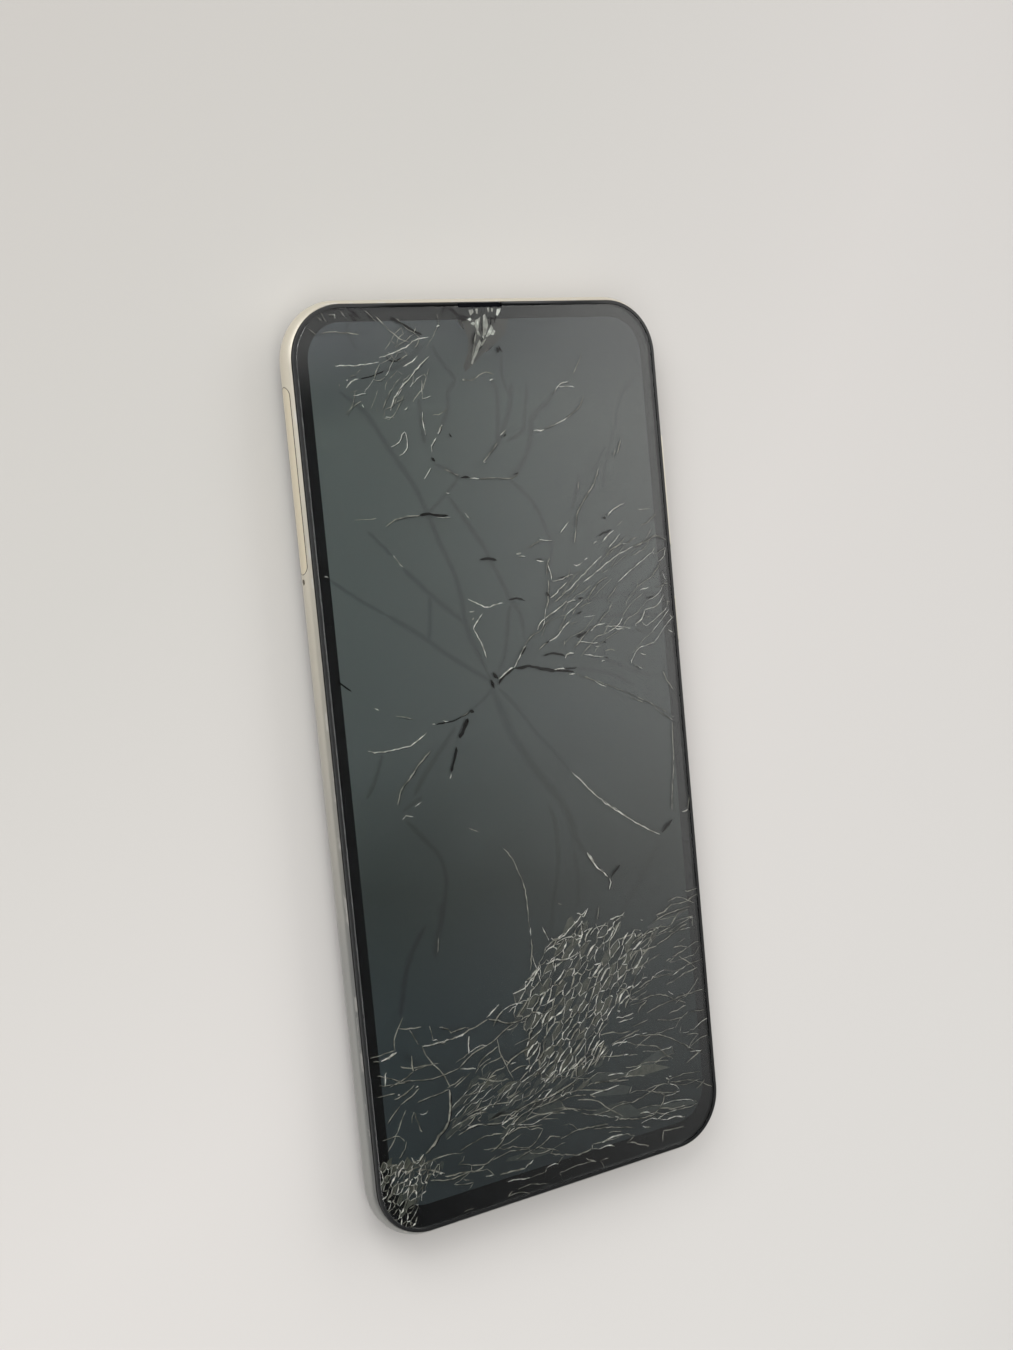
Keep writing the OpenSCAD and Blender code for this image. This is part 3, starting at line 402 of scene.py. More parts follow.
def roundedSlab(width, length, low, high, corner, edge):
    bm = plainBox((-width / 2, -length / 2, low), (width / 2, length / 2, high))
    upright = [e for e in bm.edges if abs(e.verts[0].co.z - e.verts[1].co.z) > 0.5 * (high - low)]
    bmesh.ops.bevel(bm, geom=upright, offset=corner, segments=16, profile=0.5, affect="EDGES", material=-1)
    if edge:
        rim = [e for e in bm.edges if all(abs(v.co.z - high) < 1e-7 for v in e.verts)]
        bmesh.ops.bevel(bm, geom=rim, offset=edge, segments=4, profile=0.5, affect="EDGES", material=-1)
    return bm


glassLow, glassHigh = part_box("cover_glass")
glass = {
    "gap": 0.04,  # to the print and the display, mm
    "corner": 9.5,
    "edge": 0.42,  # the rounded edge of the glass
    "slot": (9.0, 0.9, 2.0),  # over the earpiece: width, depth into the glass and into the bead
    "border": 2.85,  # black print at the sides and top
    "chin": 1.75,  # and this much more at the bottom
    "gasket": 0.5,  # black plastic bead round the glass
    "bead": 0.6,  # its height
}
glassTop = glassHigh.z - 0.02 * mm
glassW = glassHigh.x - glassLow.x
glassL = glassHigh.y - glassLow.y


def cutSlot(piece, how, depth):
    half = how["slot"][0] / 2 * mm
    past = 2 * mm  # beyond the glass on every side
    low = (-half, glassHigh.y - depth * mm, glassLow.z - past)
    high = (half, glassHigh.y + past, glassHigh.z + past)
    tool = finishPiece("cutter", plainBox(low, high), blackPrint)
    cut = piece.modifiers.new("slot", "BOOLEAN")
    cut.object = tool
    cut.operation = "DIFFERENCE"
    cut.solver = "EXACT"
    done = evaluatedMesh(piece)
    piece.modifiers.clear()
    piece.data = done
    bpy.data.objects.remove(tool)


def makeGlass(how):
    inset = how["gasket"] * mm
    bm = roundedSlab(glassW - 2 * inset, glassL - 2 * inset, glassLow.z + how["gap"] * mm, glassTop,
                     how["corner"] * mm - inset, how["edge"] * mm)
    slab = finishPiece("crackedGlassPane", bm, clearGlass)
    cutSlot(slab, how, how["slot"][1])
    smoothFaces(slab.data)
    # the flat face has to mirror like a flat one
    even = slab.modifiers.new("flatFaceShading", "WEIGHTED_NORMAL")
    even.weight = 100
    even.keep_sharp = True
    return slab


def ringSlab(name, trim, low, high, border, chin, rim, material):
    # a flat ring of the glass's outline, wider at the bottom by chin
    corner = (glass["corner"] - trim) * mm
    bm = roundedSlab(glassW - 2 * trim * mm, glassL - 2 * trim * mm, low, high, corner, 0)
    lids = [f for f in bm.faces if abs(f.normal.z) > 0.9]
    bmesh.ops.inset_individual(bm, faces=lids, thickness=border * mm, depth=0)
    for v in {v for f in lids for v in f.verts}:
        if v.co.y < 0:
            v.co.y += chin * mm
    bmesh.ops.bridge_loops(bm, edges=[e for f in lids for e in f.edges])
    bmesh.ops.delete(bm, geom=lids, context="FACES_ONLY")
    if rim:
        upper = [e for e in bm.edges if all(abs(v.co.z - high) < 1e-7 for v in e.verts)
                 and any(abs(f.normal.z) < 0.5 for f in e.link_faces)]
        bmesh.ops.bevel(bm, geom=upper, offset=rim * mm, segments=2, profile=0.5, affect="EDGES", material=-1)
    return finishPiece(name, bm, material)


pane = makeGlass(glass)
enamel = ringSlab("borderPrint", 0.05, glassLow.z + 0.02 * mm, glassLow.z + 0.03 * mm, glass["border"],
                  glass["chin"], 0, blackPrint)
bezel = ringSlab("bezelGasket", 0, glassTop - glass["bead"] * mm, glassTop, glass["gasket"] - 0.01, 0, 0.12,
                 bezelPlastic)
cutSlot(bezel, glass, glass["slot"][2])
for piece in (pane, enamel, bezel):
    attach(piece, "phone")
    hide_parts("cover_glass")
print("glass made")

# The cracks. Each line is its width and the points it runs through, in mm from the middle of the glass: gaps
# that stand open, edges that catch the light, duller ones, and the shadows they throw on the display.
openLines = [
    (0.35, (-15.8, 43.4), (-14, 43.6), (-12.5, 43.1), (-10.3, 43)),
    (0.42, (-7, 49.3), (-6.2, 49.3), (-5.2, 49.2)), (0.45, (-12.5, 53), (-12, 52.3)),
    (0.34, (-4.9, 34.9), (-2.6, 34.9), (-1.4, 34.4)), (0.28, (0.4, 27.3), (2, 27.4), (3.6, 26.8)),
    (0.6, (8.3, 27.9), (8.8, 26.9)), (0.3, (6.6, 33.8), (8, 33.7)), (0.45, (-4.4, 15.1), (-3.4, 13.9)),
    (0.5, (-4.8, 13.7), (-4.4, 12.3)), (0.32, (-3.3, 12.9), (-2.5, 13.9), (0, 15.2)),
    (0.4, (0, 15.2), (1.6, 15.2), (3.2, 15.3), (5, 14.7), (8, 14), (11, 13.5), (12.6, 13.1)),
    (0.25, (10.8, 13.9), (13.4, 13.8)), (0.42, (1.4, 17), (2, 17.8), (3, 18.7)),
    (0.35, (6.8, 18.8), (8, 19.2)), (0.5, (13.9, 19.2), (15, 19.5), (16.3, 19.9)),
    (0.26, (6.5, 16.7), (8.5, 16.9), (11, 16.2)), (0.3, (19.6, 17.7), (20.2, 17.5)),
    (0.3, (19.8, 14.9), (20.3, 14.7)), (0.3, (11.5, 30.1), (13.2, 30.3)), (0.32, (14.9, 25.9), (16, 26.1)),
    (0.6, (22.1, 40.2), (22.6, 40)), (0.22, (20.6, 36.9), (23.6, 37.9)),
    (0.2, (-16.5, 7.6), (-13, 7.8), (-9.6, 8.9)), (0.6, (-9.7, 8.9), (-8.9, 8.8)),
    (0.52, (-10.2, 7.8), (-11.3, 6.1), (-12.2, 4.5)), (0.38, (-13, 3.2), (-13.8, 1), (-14.6, -1)),
    (0.4, (16.7, -25.3), (17.8, -24.3), (18.9, -23.4)), (0.42, (29, -19.1), (30.3, -18.2), (31.7, -17.1)),
    (0.28, (-17.8, 76.8), (-14.5, 75), (-12, 73.7)), (0.4, (-4.3, 76.5), (-3, 76.1)),
    (0.5, (2.6, 71.2), (2.9, 70.3)), (0.2, (-24.5, 66.8), (-22, 67.2), (-20, 67.9)),
    (0.3, (-25.2, 77.4), (-24.2, 76.2)), (0.3, (3.8, 49.2), (4.7, 49.3)), (0.25, (-34.3, 17.4), (-32, 15.2)),
    (0.2, (30, 24.6), (32, 24.7)), (0.35, (35, 33.4), (35.3, 33)), (0.25, (2.9, 56.3), (2.4, 55.6)),
    (0.25, (14.3, 23.3), (15.5, 23.7)), (0.3, (16.4, -25.4), (16.6, -26.4)),
    (0.2, (-25, 78.2), (-23.4, 76.6)), (0.2, (-21.9, 78.1), (-21.2, 76.4)),
    (0.2, (-19.4, 70.4), (-18.2, 69.4), (-16.2, 69.9)), (0.25, (3.2, -33.9), (2.4, -33.7)),
    (0.25, (-8.6, 56.9), (-8.1, 56.2)), (0.5, (-4.1, 76.8), (-2.7, 76.5)),
    (0.3, (3.1, 76.6), (2.8, 76.1), (2.6, 75.5)), (0.32, (3.1, 71.6), (3.3, 71), (3.6, 70.5)),
    (0.2, (-7.6, 77.2), (-7.1, 78.2), (-6.1, 78.5)), (0.22, (-6.1, 78.5), (-5.3, 77.7), (-4.1, 76.7)),
    (0.3, (-1.5, 74.3), (-1.8, 73.2), (-2.2, 71.8)), (0.25, (0.2, 76.3), (0, 75.1), (0, 73.6)),
    (0.25, (1.9, 76.7), (2, 75.9), (1.6, 74.9)), (0.28, (-0.2, 73.2), (-0.1, 72.8), (-0.4, 72.2)),
    (0.2, (-1.2, 70.6), (-0.8, 71.1), (-0.2, 71.6)),
]
brightLines = [
    (0.3, (-29, 69), (-25, 69), (-20.8, 69.5)),
    (0.3, (-20.8, 70.1), (-18, 70.9), (-15, 71.9), (-13.5, 72.9), (-11, 73.3)),
    (0.3, (-27.3, 65.3), (-26.3, 66.4), (-25, 66.8)), (0.25, (-26.2, 64.1), (-23.8, 64.2)),
    (0.4, (-27.2, 66.6), (-26.8, 66.6)), (0.3, (-24.8, 62.6), (-24.4, 62.1)),
    (0.3, (-16.3, 68.5), (-14.5, 69.3), (-13.3, 70.2)),
    (0.34, (-19.5, 61.3), (-18.5, 63.3), (-16.8, 65.2), (-14.5, 67.3), (-12.5, 69), (-11.2, 70)),
    (0.32, (-20.5, 60.3), (-19, 60.1)), (0.3, (-16.8, 61.2), (-16.2, 61.7)),
    (0.3, (-20, 55.2), (-18.5, 55.9), (-17.3, 57.5), (-16.8, 56.3), (-17.2, 54.5), (-18.6, 53.7)),
    (0.25, (-12.9, 66), (-13.2, 63.8), (-13.1, 63), (-11.5, 63.4)),
    (0.3, (-13.4, 60.8), (-13.5, 59), (-13.2, 56.8)), (0.5, (-9.9, 58.4), (-10.8, 56.8)),
    (0.34, (-11.2, 56.3), (-12.2, 55), (-12.2, 54)), (0.3, (-12.8, 51.3), (-14.3, 49.5)),
    (0.4, (-5.2, 49), (-3.5, 48.9)), (0.3, (-10.3, 46.8), (-9.6, 46.6)), (0.35, (-6.8, 43), (-5.8, 42)),
    (0.22, (-12.5, 42.8), (-10, 42.6)), (0.42, (1.6, 56), (3, 57)), (0.35, (-2.3, 51.8), (-1.8, 51.5)),
    (0.45, (-4.9, 66), (-4.5, 65.6)), (0.45, (0.6, 65.6), (1.2, 65.8)),
    (0.3, (-29.2, 77.5), (-28.2, 77.3), (-28, 76.7)), (0.32, (-9, 75), (-8.4, 75.2)),
    (0.26, (13.9, 63), (15.2, 64.5), (17, 64.8)), (0.24, (14.8, 64), (18.3, 63.9)),
    (0.34, (13.4, 57.4), (16, 58.3)), (0.4, (8.7, 56.6), (10.8, 56.6)), (0.32, (12.3, 38), (14.3, 40)),
    (0.26, (23, 40.4), (24.5, 41.5), (26.8, 42.3)), (0.3, (7.8, 37.3), (9.8, 36.9), (10.5, 37)),
    (0.5, (2.6, 35.2), (3.8, 35.3)), (0.3, (3, 34.8), (4.5, 34.6)), (0.36, (6.8, 33.7), (8.2, 33.3)),
    (0.36, (9, 33.5), (9.5, 31.5), (9.7, 30)), (0.25, (9.8, 29.8), (11.3, 29.8), (13, 30.3), (14.5, 30.4)),
    (0.32, (14.5, 32.2), (15.3, 32), (16.5, 32.4)), (0.32, (17, 32.8), (17.8, 33.2)),
    (0.32, (9, 26.8), (10.5, 27.6), (12.7, 29.3)), (0.3, (12, 25.6), (14.5, 25.9)),
    (0.32, (16.3, 29), (18, 29.7), (20, 30.9), (22.5, 32.2), (25, 33.4), (28, 34.3)),
    (0.36, (21.5, 35.8), (22.5, 36.8), (24, 37.7)), (0.35, (19.3, 35.5), (20, 36)),
    (0.36, (5.7, 21.5), (6.5, 22.7), (7.5, 23.3), (9, 24), (11, 25), (12.5, 26)),
    (0.3, (7, 22), (7.6, 24), (7.9, 25)), (0.34, (0.2, 15.4), (1, 16.5), (2, 18), (3, 19)),
    (0.34, (-3.3, 13.8), (-2, 14.5), (0, 15.5)),
    (0.3, (-8, 28.3), (-6.5, 27.5), (-5.5, 27), (-4.2, 26.5), (-3, 26.7), (-1, 27)),
    (0.45, (-4.6, 26.6), (-3.8, 26.5)), (0.3, (-5.3, 25.5), (-6.5, 24.3), (-7.5, 23)),
    (0.5, (-7.8, 26), (-6.8, 26.1)), (0.36, (-7.5, 23), (-6.5, 21.5), (-5.8, 19.5), (-5.3, 17.8)),
    (0.36, (8, 19.2), (9.5, 19.7), (10.5, 20.5), (11.5, 21.5), (12.8, 22.3)),
    (0.36, (13.3, 23.3), (14, 24.3)), (0.32, (17, 20), (18.3, 20.8), (20.3, 21)),
    (0.26, (20.2, 20.4), (22.5, 20.3), (26, 19.5)), (0.24, (21.7, 19.9), (24.5, 19.5)),
    (0.28, (13.8, 18.4), (16, 18), (18.5, 17.6)), (0.3, (19, 17), (17.8, 17.1)),
    (0.5, (11, 15.8), (11.5, 16.3), (13, 16.5)), (0.26, (15, 16), (18, 15.2), (19.5, 15)),
    (0.42, (18.8, 14.3), (19.5, 14.4)), (0.4, (8.3, 13.9), (9.8, 14.1), (10.8, 13.7)),
    (0.32, (11.5, 12.8), (12.8, 12.8)), (0.26, (17, 10.8), (19.7, 9.4)), (0.3, (26, 12.7), (27.8, 11.8)),
    (0.3, (27.7, 14.6), (29, 14.3)), (0.32, (28.8, 26.3), (30.8, 26.6)), (0.32, (34.3, 18.4), (35.5, 17.8)),
    (0.32, (-21.7, 37), (-20.8, 35.8), (-20, 35)), (0.35, (-34.8, 34.8), (-34.2, 34.5)),
    (0.3, (-28, 12), (-27.3, 11.4)),
    (0.3, (-30, 5), (-29, 4.6), (-27, 4.4), (-25, 4.5), (-22, 4.7), (-20.5, 5.4), (-18.6, 6.5)),
    (0.34, (-21.5, 0.4), (-22.3, -0.4), (-22.8, -0.9)), (0.45, (-14.5, -1.4), (-14.9, -2.1)),
    (0.4, (-16.8, 7.6), (-17.3, 7.8)), (0.25, (-15.2, 8), (-14.2, 7.9)),
    (0.3, (-24.8, -7.7), (-24.2, -7), (-22.8, -7.4)), (0.28, (-22.2, -5.8), (-21, -5.2)),
    (0.36, (10.2, -4.8), (12, -6.7), (13.5, -8.3), (15.2, -10), (17, -11.7), (19, -13.2), (21.5, -15),
     (24, -16.7), (28.5, -19.5)),
    (0.2, (16.5, -11), (19, -12.9), (21.5, -14.7)),
    (0.75, (12, -19.8), (13, -21.5), (14, -23), (15.2, -24), (16, -25)),
    (0.4, (16.3, -25.4), (16.5, -26.3), (16, -27.5)), (0.4, (34, -16.2), (35.2, -15.9), (35.4, -15.6)),
    (0.35, (-1.6, -31), (-1.6, -32.4)), (0.3, (1, -31.5), (1.7, -33), (2, -34)),
    (0.4, (2.5, -33.7), (3.5, -34.3), (5.5, -33.8), (7, -32.7), (8.5, -31.8), (9.3, -31), (10.5, -30.2)),
    (0.4, (8.5, -30.3), (9.5, -31), (10, -31.3), (11, -30)),
    (0.4, (3, -35), (5, -34.5), (7, -34.3), (8, -35), (9.2, -34.8), (9.2, -32)),
    (0.5, (3.2, -35), (4.4, -35.1)), (0.36, (11, -35), (12, -34), (14, -33.7), (15, -34.2)),
    (0.45, (15.5, -33), (17, -32.8), (18.5, -32.8), (18.7, -33.2)),
    (0.4, (17.5, -34), (16.5, -35.5), (15, -37)),
    (0.4, (1, -38.2), (2.5, -38), (3, -37.8), (5, -38.2), (7, -38), (8, -37.5)),
    (0.6, (3, -38.4), (2.7, -39.8)), (0.4, (-6.5, -42), (-4, -41.5), (-2, -40), (-0.5, -39)),
    (0.4, (-1.8, -36), (-1.2, -38), (-0.4, -41)), (0.5, (21.7, -45.3), (22.7, -45.4)),
    (0.38, (20, -36.8), (20.8, -36), (22.3, -36.5)), (0.3, (22.4, -34.4), (22.9, -34.6)),
    (0.38, (15, -51.3), (17, -51.6), (19, -51.3)), (0.32, (15.5, -52.2), (18.8, -52.2)),
    (0.4, (13.6, -56.2), (15, -56), (17, -56.3)), (0.42, (16, -58.5), (17, -58.7)),
    (0.36, (12, -61.5), (14, -61.6), (15.8, -61.9)), (0.5, (25.8, -65), (26.3, -65.3)),
    (0.5, (18.5, -70.3), (20, -70.5), (21.5, -71), (22, -71.5)), (0.4, (9.5, -73.4), (12, -73), (14, -73.2)),
    (0.4, (18.8, -72.8), (20.5, -73.5)), (0.5, (-18.8, -47), (-16.8, -46.7)),
    (0.45, (-25.5, -47), (-22.5, -47.1), (-20, -47)), (0.36, (-18.5, -52.6), (-16.8, -53), (-15.3, -53.3)),
    (0.65, (-33.5, -47.7), (-32, -47.3), (-30.5, -46.8)), (0.36, (-23.8, -50.6), (-23.3, -51)),
    (0.5, (-27.5, -53.7), (-26.9, -53.6)), (0.6, (-31, -54.2), (-30.6, -54.2)),
    (0.75, (-24.5, -69.7), (-23.9, -69.8)), (0.5, (-15.5, -72.8), (-14, -72.9)),
    (0.5, (-29.5, -65.5), (-28.8, -66.8), (-27.3, -65.6)), (0.5, (-18.3, -63.4), (-16.3, -63.3)),
    (0.42, (-12.2, -44.8), (-11, -44.2), (-9.5, -43.2)),
]
paleLines = [
    (0.28, (-31, 74.3), (-29, 74.6), (-26, 74.3), (-24, 74)),
    (0.28, (-20.5, 77), (-18, 74.5), (-16, 73), (-14.8, 72.7)),
    (0.25, (-18.8, 71), (-17.5, 69.5), (-15.2, 70.5), (-15.8, 71.2)), (0.22, (-26.8, 64.5), (-25.2, 64.9)),
    (0.25, (-18.5, 62.5), (-16.8, 63.2)), (0.22, (-11.3, 68.2), (-11.8, 66.8)),
    (0.22, (-11.5, 60.1), (-9.5, 60.4), (-8.5, 61.2)), (0.3, (-10.2, 51), (-8.5, 50), (-7.5, 49.6)),
    (0.3, (-3.5, 48.8), (0, 48.8), (3, 48.5), (4.8, 49.2)), (0.24, (-28.2, 43.5), (-24.2, 43.5)),
    (0.28, (-22.5, 42), (-21.2, 42.8), (-19, 43.3), (-15.8, 43.4)),
    (0.3, (-2.5, 69.5), (-2, 71.5), (-1.2, 73.5)), (0.28, (-2.3, 51.6), (-0.8, 53), (1, 54.8)),
    (0.28, (-4.9, 66), (-3, 65.8), (-1.5, 66.6), (0, 67.1), (1.5, 66.6)), (0.25, (-27, 77.8), (-26.3, 77)),
    (0.25, (-22.4, 78), (-21.5, 77), (-20.5, 76.2)), (0.24, (-31.8, 77.4), (-30.7, 76.4)),
    (0.22, (-30.6, 77.8), (-29.8, 76.2)), (0.22, (-33.2, 75.2), (-31.9, 74.1)),
    (0.2, (-16.8, 76.6), (-14.9, 75), (-12.5, 73.4)), (0.2, (-9.6, 73.9), (-8.6, 75.6), (-8.8, 77.2)),
    (0.25, (18, 66), (19.3, 67.8), (20.5, 70)), (0.28, (20, 62), (18.8, 60.2), (17.2, 59.1), (16, 58.4)),
    (0.24, (11, 56.7), (13.4, 57.4)), (0.3, (17, 45.5), (17.3, 46.8)),
    (0.34, (15.8, 38.5), (16.3, 41), (18, 43.5), (20.3, 46), (22, 49)), (0.34, (15.2, 36), (15.8, 38.5)),
    (0.32, (25.3, 50.8), (25.9, 52.2)), (0.34, (26.3, 51.5), (27.3, 53.8)),
    (0.26, (29.8, 41.1), (32.5, 40.9)), (0.25, (24.7, 38.3), (26.2, 39.2)),
    (0.28, (30.3, 38), (32, 38.6), (34, 40)), (0.28, (5.2, 36), (6.5, 36.7), (8, 37)),
    (0.3, (9.7, 34), (9, 32.8), (8.7, 31)), (0.28, (13.2, 30), (13.8, 31.8)),
    (0.26, (10, 26), (11.5, 27), (12.5, 27.8)), (0.28, (12.5, 26.5), (14, 27.5), (15.5, 28.7)),
    (0.28, (16.8, 30.2), (17.8, 31.2)), (0.3, (28, 34.3), (31, 35), (33.5, 35.8), (36, 34.8)),
    (0.28, (22, 33), (25, 35.2), (27, 36.5)), (0.32, (8, 25), (8.4, 26.3), (8.8, 28.5), (9, 30)),
    (0.32, (3, 19.5), (4, 20.3), (5, 21)), (0.3, (-7.6, 24.6), (-7, 25)), (0.3, (5.5, 18), (7.5, 19)),
    (0.25, (15, 24.5), (17.8, 25.2)), (0.28, (27.5, 19.3), (28.3, 18.6)), (0.24, (14.8, 12), (17, 10.8)),
    (0.24, (24.5, 7), (26, 6.2), (28, 5.2)), (0.22, (30, 4), (33.7, 1.4)),
    (0.16, (13, 12.6), (18, 10.5), (24, 7.8), (30, 4.6), (34, 2)),
    (0.32, (32.3, 10.8), (33.2, 9), (34.4, 7)), (0.26, (32.5, 26.5), (34.5, 26.6)),
    (0.32, (34.5, 23.5), (35.5, 23.5)), (0.3, (35.2, 21), (35.6, 20.3)), (0.26, (29, 21.1), (30.5, 21.2)),
    (0.24, (-24.3, 10), (-22.8, 9.7), (-20.8, 9)),
    (0.34, (-18.2, 3.2), (-20.5, 1.5), (-22.3, -0.4), (-23, -1), (-24.5, -2.5), (-25.5, -5)),
    (0.25, (-11.5, 8.2), (-10, 8.8)), (0.25, (-12.2, -11.2), (-10.2, -12.3)),
    (0.3, (-5.5, -16), (-4, -18), (-3, -20.5), (-2, -23.5), (-1.8, -27), (-1.7, -31)),
    (0.3, (-1.6, -33), (-1.8, -36), (-2.4, -38.5)), (0.3, (-20.2, -29), (-20.6, -31.5)),
    (0.26, (4, -27.2), (5.5, -28.3)), (0.28, (33.5, 1), (33.3, -3), (32.8, -8), (32, -13), (31.7, -15.5)),
    (0.26, (35.5, -15.5), (36, -13.5)), (0.3, (13.5, -30), (12.8, -32.5)),
    (0.36, (17, -37), (19, -36.8), (21, -36.6)), (0.36, (20, -38.5), (22, -37.5), (25, -37), (27, -36.3)),
    (0.32, (25, -35.5), (28, -34.6), (31, -34.3), (34, -34.1)),
    (0.28, (29, -32.3), (31, -31.8), (33, -32.5), (35, -33.7)), (0.26, (30.5, -36.2), (34.5, -36)),
    (0.4, (20, -40), (23, -40.1)), (0.4, (25.5, -39.8), (28, -39), (31, -37.8), (33, -37.3)),
    (0.3, (26, -37.8), (29, -37)), (0.34, (23, -43), (24.5, -42), (26, -41.7)),
    (0.4, (27.5, -43.3), (28.5, -43)), (0.26, (29, -42.8), (31, -42.2)),
    (0.28, (30.5, -43), (32.5, -44.5), (34, -46)), (0.4, (20, -43), (22, -43), (22.5, -43.5)),
    (0.26, (24, -45.8), (29, -45.8)), (0.3, (27, -47.8), (30, -47), (32, -46.5), (34.5, -46)),
    (0.3, (19, -47.8), (22, -47), (23, -46.5)), (0.36, (16, -46), (18, -46.8), (18.5, -48.5), (20.3, -49)),
    (0.34, (20.5, -49.3), (24, -49), (26.5, -49.7), (28.5, -51), (31, -52)),
    (0.3, (22, -52), (25, -51.3), (28, -51), (31, -50.6), (35.3, -50.4)),
    (0.32, (27, -53.2), (29, -53), (31, -52.5)), (0.26, (31, -51), (33, -49.5), (34.5, -48)),
    (0.34, (18.5, -53.8), (22, -53.3)), (0.28, (24, -53.8), (27, -54.5), (30, -54.7)),
    (0.26, (32, -54), (35.3, -54.5)), (0.36, (11, -53.6), (14, -53.8), (16, -54.5), (18, -54.4)),
    (0.34, (10, -55.5), (12.5, -56)),
    (0.42, (17, -56.3), (19, -57.3), (21.5, -58), (24, -59.2), (25.5, -60.8), (27, -62)),
    (0.4, (13.5, -56), (16, -55.3), (20, -54.7)),
    (0.32, (19, -55.8), (22, -56.2), (25, -57), (28, -58.7), (31, -60.7), (33, -62.3)),
    (0.38, (30, -63.5), (31.5, -62.8), (34, -62)),
    (0.36, (10, -57.6), (12, -57.8), (14, -58.3), (16, -58.5)), (0.3, (17, -58.8), (19, -59.2)),
    (0.36, (9, -62), (11, -62.3), (13, -62.8), (16.5, -63.4)),
    (0.28, (16, -61), (18, -61.2), (22, -61.3), (26, -62)),
    (0.34, (0, -63), (3, -62.5), (6, -62.6), (8, -63.2), (11, -64)),
    (0.34, (5, -64.2), (8, -65), (10, -66), (11.5, -67.5), (14.5, -69.8)),
    (0.32, (5.5, -66.8), (8, -67.8), (11, -68), (14, -67.5), (17, -67.7), (20, -67.2), (24, -66)),
    (0.28, (22, -67.2), (25, -68), (27.5, -68.5)), (0.3, (26, -66.3), (30, -66.8), (33, -68), (35.5, -69.5)),
    (0.28, (22, -71), (25.5, -72.5)), (0.3, (25, -71.3), (29, -71.5)),
    (0.3, (8, -70.5), (11, -71), (14, -71.8), (16.5, -72.5)),
    (0.36, (-21.8, -44.5), (-20, -45.2), (-19.5, -45.8), (-17.5, -45.7), (-16, -45.8)),
    (0.36, (-20, -47), (-18, -46.8), (-16, -46.3), (-14, -45.8), (-12, -45.3)),
    (0.36, (-12, -45.3), (-10, -46), (-8, -47), (-6, -47), (-3.5, -46.5)), (0.3, (-6.3, -42), (-6, -44)),
    (0.36, (-25.5, -47), (-24.8, -48.7), (-23.5, -50.7), (-22, -52.5), (-21.2, -54), (-20.8, -55.5)),
    (0.32, (-30, -49.5), (-28, -50.2), (-25.5, -50.3), (-24, -50.7)),
    (0.3, (-34.5, -49.8), (-32, -51), (-30, -52), (-27, -52.5), (-24, -53), (-20, -52.6), (-18.5, -52.4)),
    (0.4, (-18.5, -52.4), (-17, -51.3), (-15, -50.3), (-12, -49.6), (-10.5, -48.9), (-8.5, -47.8),
     (-7, -47.3)),
    (0.32, (-15, -53.3), (-14, -52), (-12.5, -51.3), (-10.5, -50.6)),
    (0.26, (-14.3, -54.8), (-14.2, -53.8), (-13.5, -53.2), (-10, -52.5)),
    (0.3, (-10.5, -49), (-10.3, -51), (-9.7, -53), (-9, -54.5), (-8.5, -56), (-7.8, -57.5)),
    (0.36, (-9.2, -54.5), (-8, -53.5), (-6.5, -52.8), (-4, -52.3)),
    (0.36, (-12.8, -55.5), (-11.5, -54.8), (-9.5, -54.5)),
    (0.36, (-8.5, -55.8), (-7, -55.3), (-5.5, -55.3), (-4.3, -56.5)),
    (0.32, (-20, -55.6), (-18, -54.5), (-16.5, -53.8)), (0.34, (-27.5, -56.3), (-24, -56), (-21.2, -55.7)),
    (0.4, (-15, -55.2), (-13, -56), (-11.5, -56.6), (-9, -56.8)),
    (0.9, (-21, -55.7), (-21, -58), (-21.5, -60.5), (-22.5, -62.3), (-24, -63.3), (-25, -64.5),
     (-26.8, -65.5)),
    (0.36, (-21.5, -62.5), (-19, -62), (-17, -61.3), (-14, -61.5)),
    (0.4, (-20, -64), (-18, -63.5), (-16, -63.3), (-13, -64), (-10, -64.3)),
    (0.32, (-18, -61), (-15, -60.5), (-12, -60.6), (-9, -61)),
    (0.32, (-30.7, -46.5), (-30.5, -44.5), (-29.8, -43), (-28.5, -41)),
    (0.36, (-29.5, -42.8), (-27.5, -43.3), (-25.2, -43.6)),
    (0.28, (-27.5, -43.5), (-26.8, -45), (-26.2, -46.5)), (0.4, (-35, -47.2), (-33.5, -47.7)),
    (0.28, (-34.5, -51.7), (-32, -52.1), (-29, -52.3)), (0.3, (-34.8, -53.5), (-31.5, -53.7)),
    (0.34, (-30.5, -55.8), (-28.5, -55), (-26.8, -53.9)), (0.42, (-33.5, -58.5), (-32, -57), (-30.8, -56)),
    (0.36, (-34, -63.3), (-32.5, -61.5), (-31, -59), (-29.8, -57)),
    (0.36, (-29, -59.6), (-28.7, -58.6), (-28.3, -57.8), (-27.8, -59.5), (-27, -61.7)),
    (0.3, (-30.3, -62.5), (-30.7, -63.7), (-32, -65)),
    (0.36, (-34.8, -65.5), (-32.5, -66), (-31.5, -67.5), (-29.5, -67.5), (-25, -67), (-22, -67),
     (-19.5, -67.3)),
    (0.42, (-29, -68), (-26.5, -68.5), (-24.5, -69.5), (-23.5, -70)),
    (0.36, (-23.5, -70.5), (-20, -70.8), (-17, -71.3), (-15, -70.5)),
    (0.34, (-20, -66.8), (-18, -66.3), (-15.5, -65.8), (-13, -65.8), (-10.7, -66.2)),
    (0.42, (-14, -68.7), (-12.5, -68.2), (-10.5, -66.5), (-9.5, -65.5)),
    (0.34, (-10.5, -66.8), (-8, -66), (-6, -66.4), (-3, -66.7)),
    (0.36, (-9, -71.5), (-6, -70.8), (-3, -70.2), (-1.5, -69.3), (0.5, -70)),
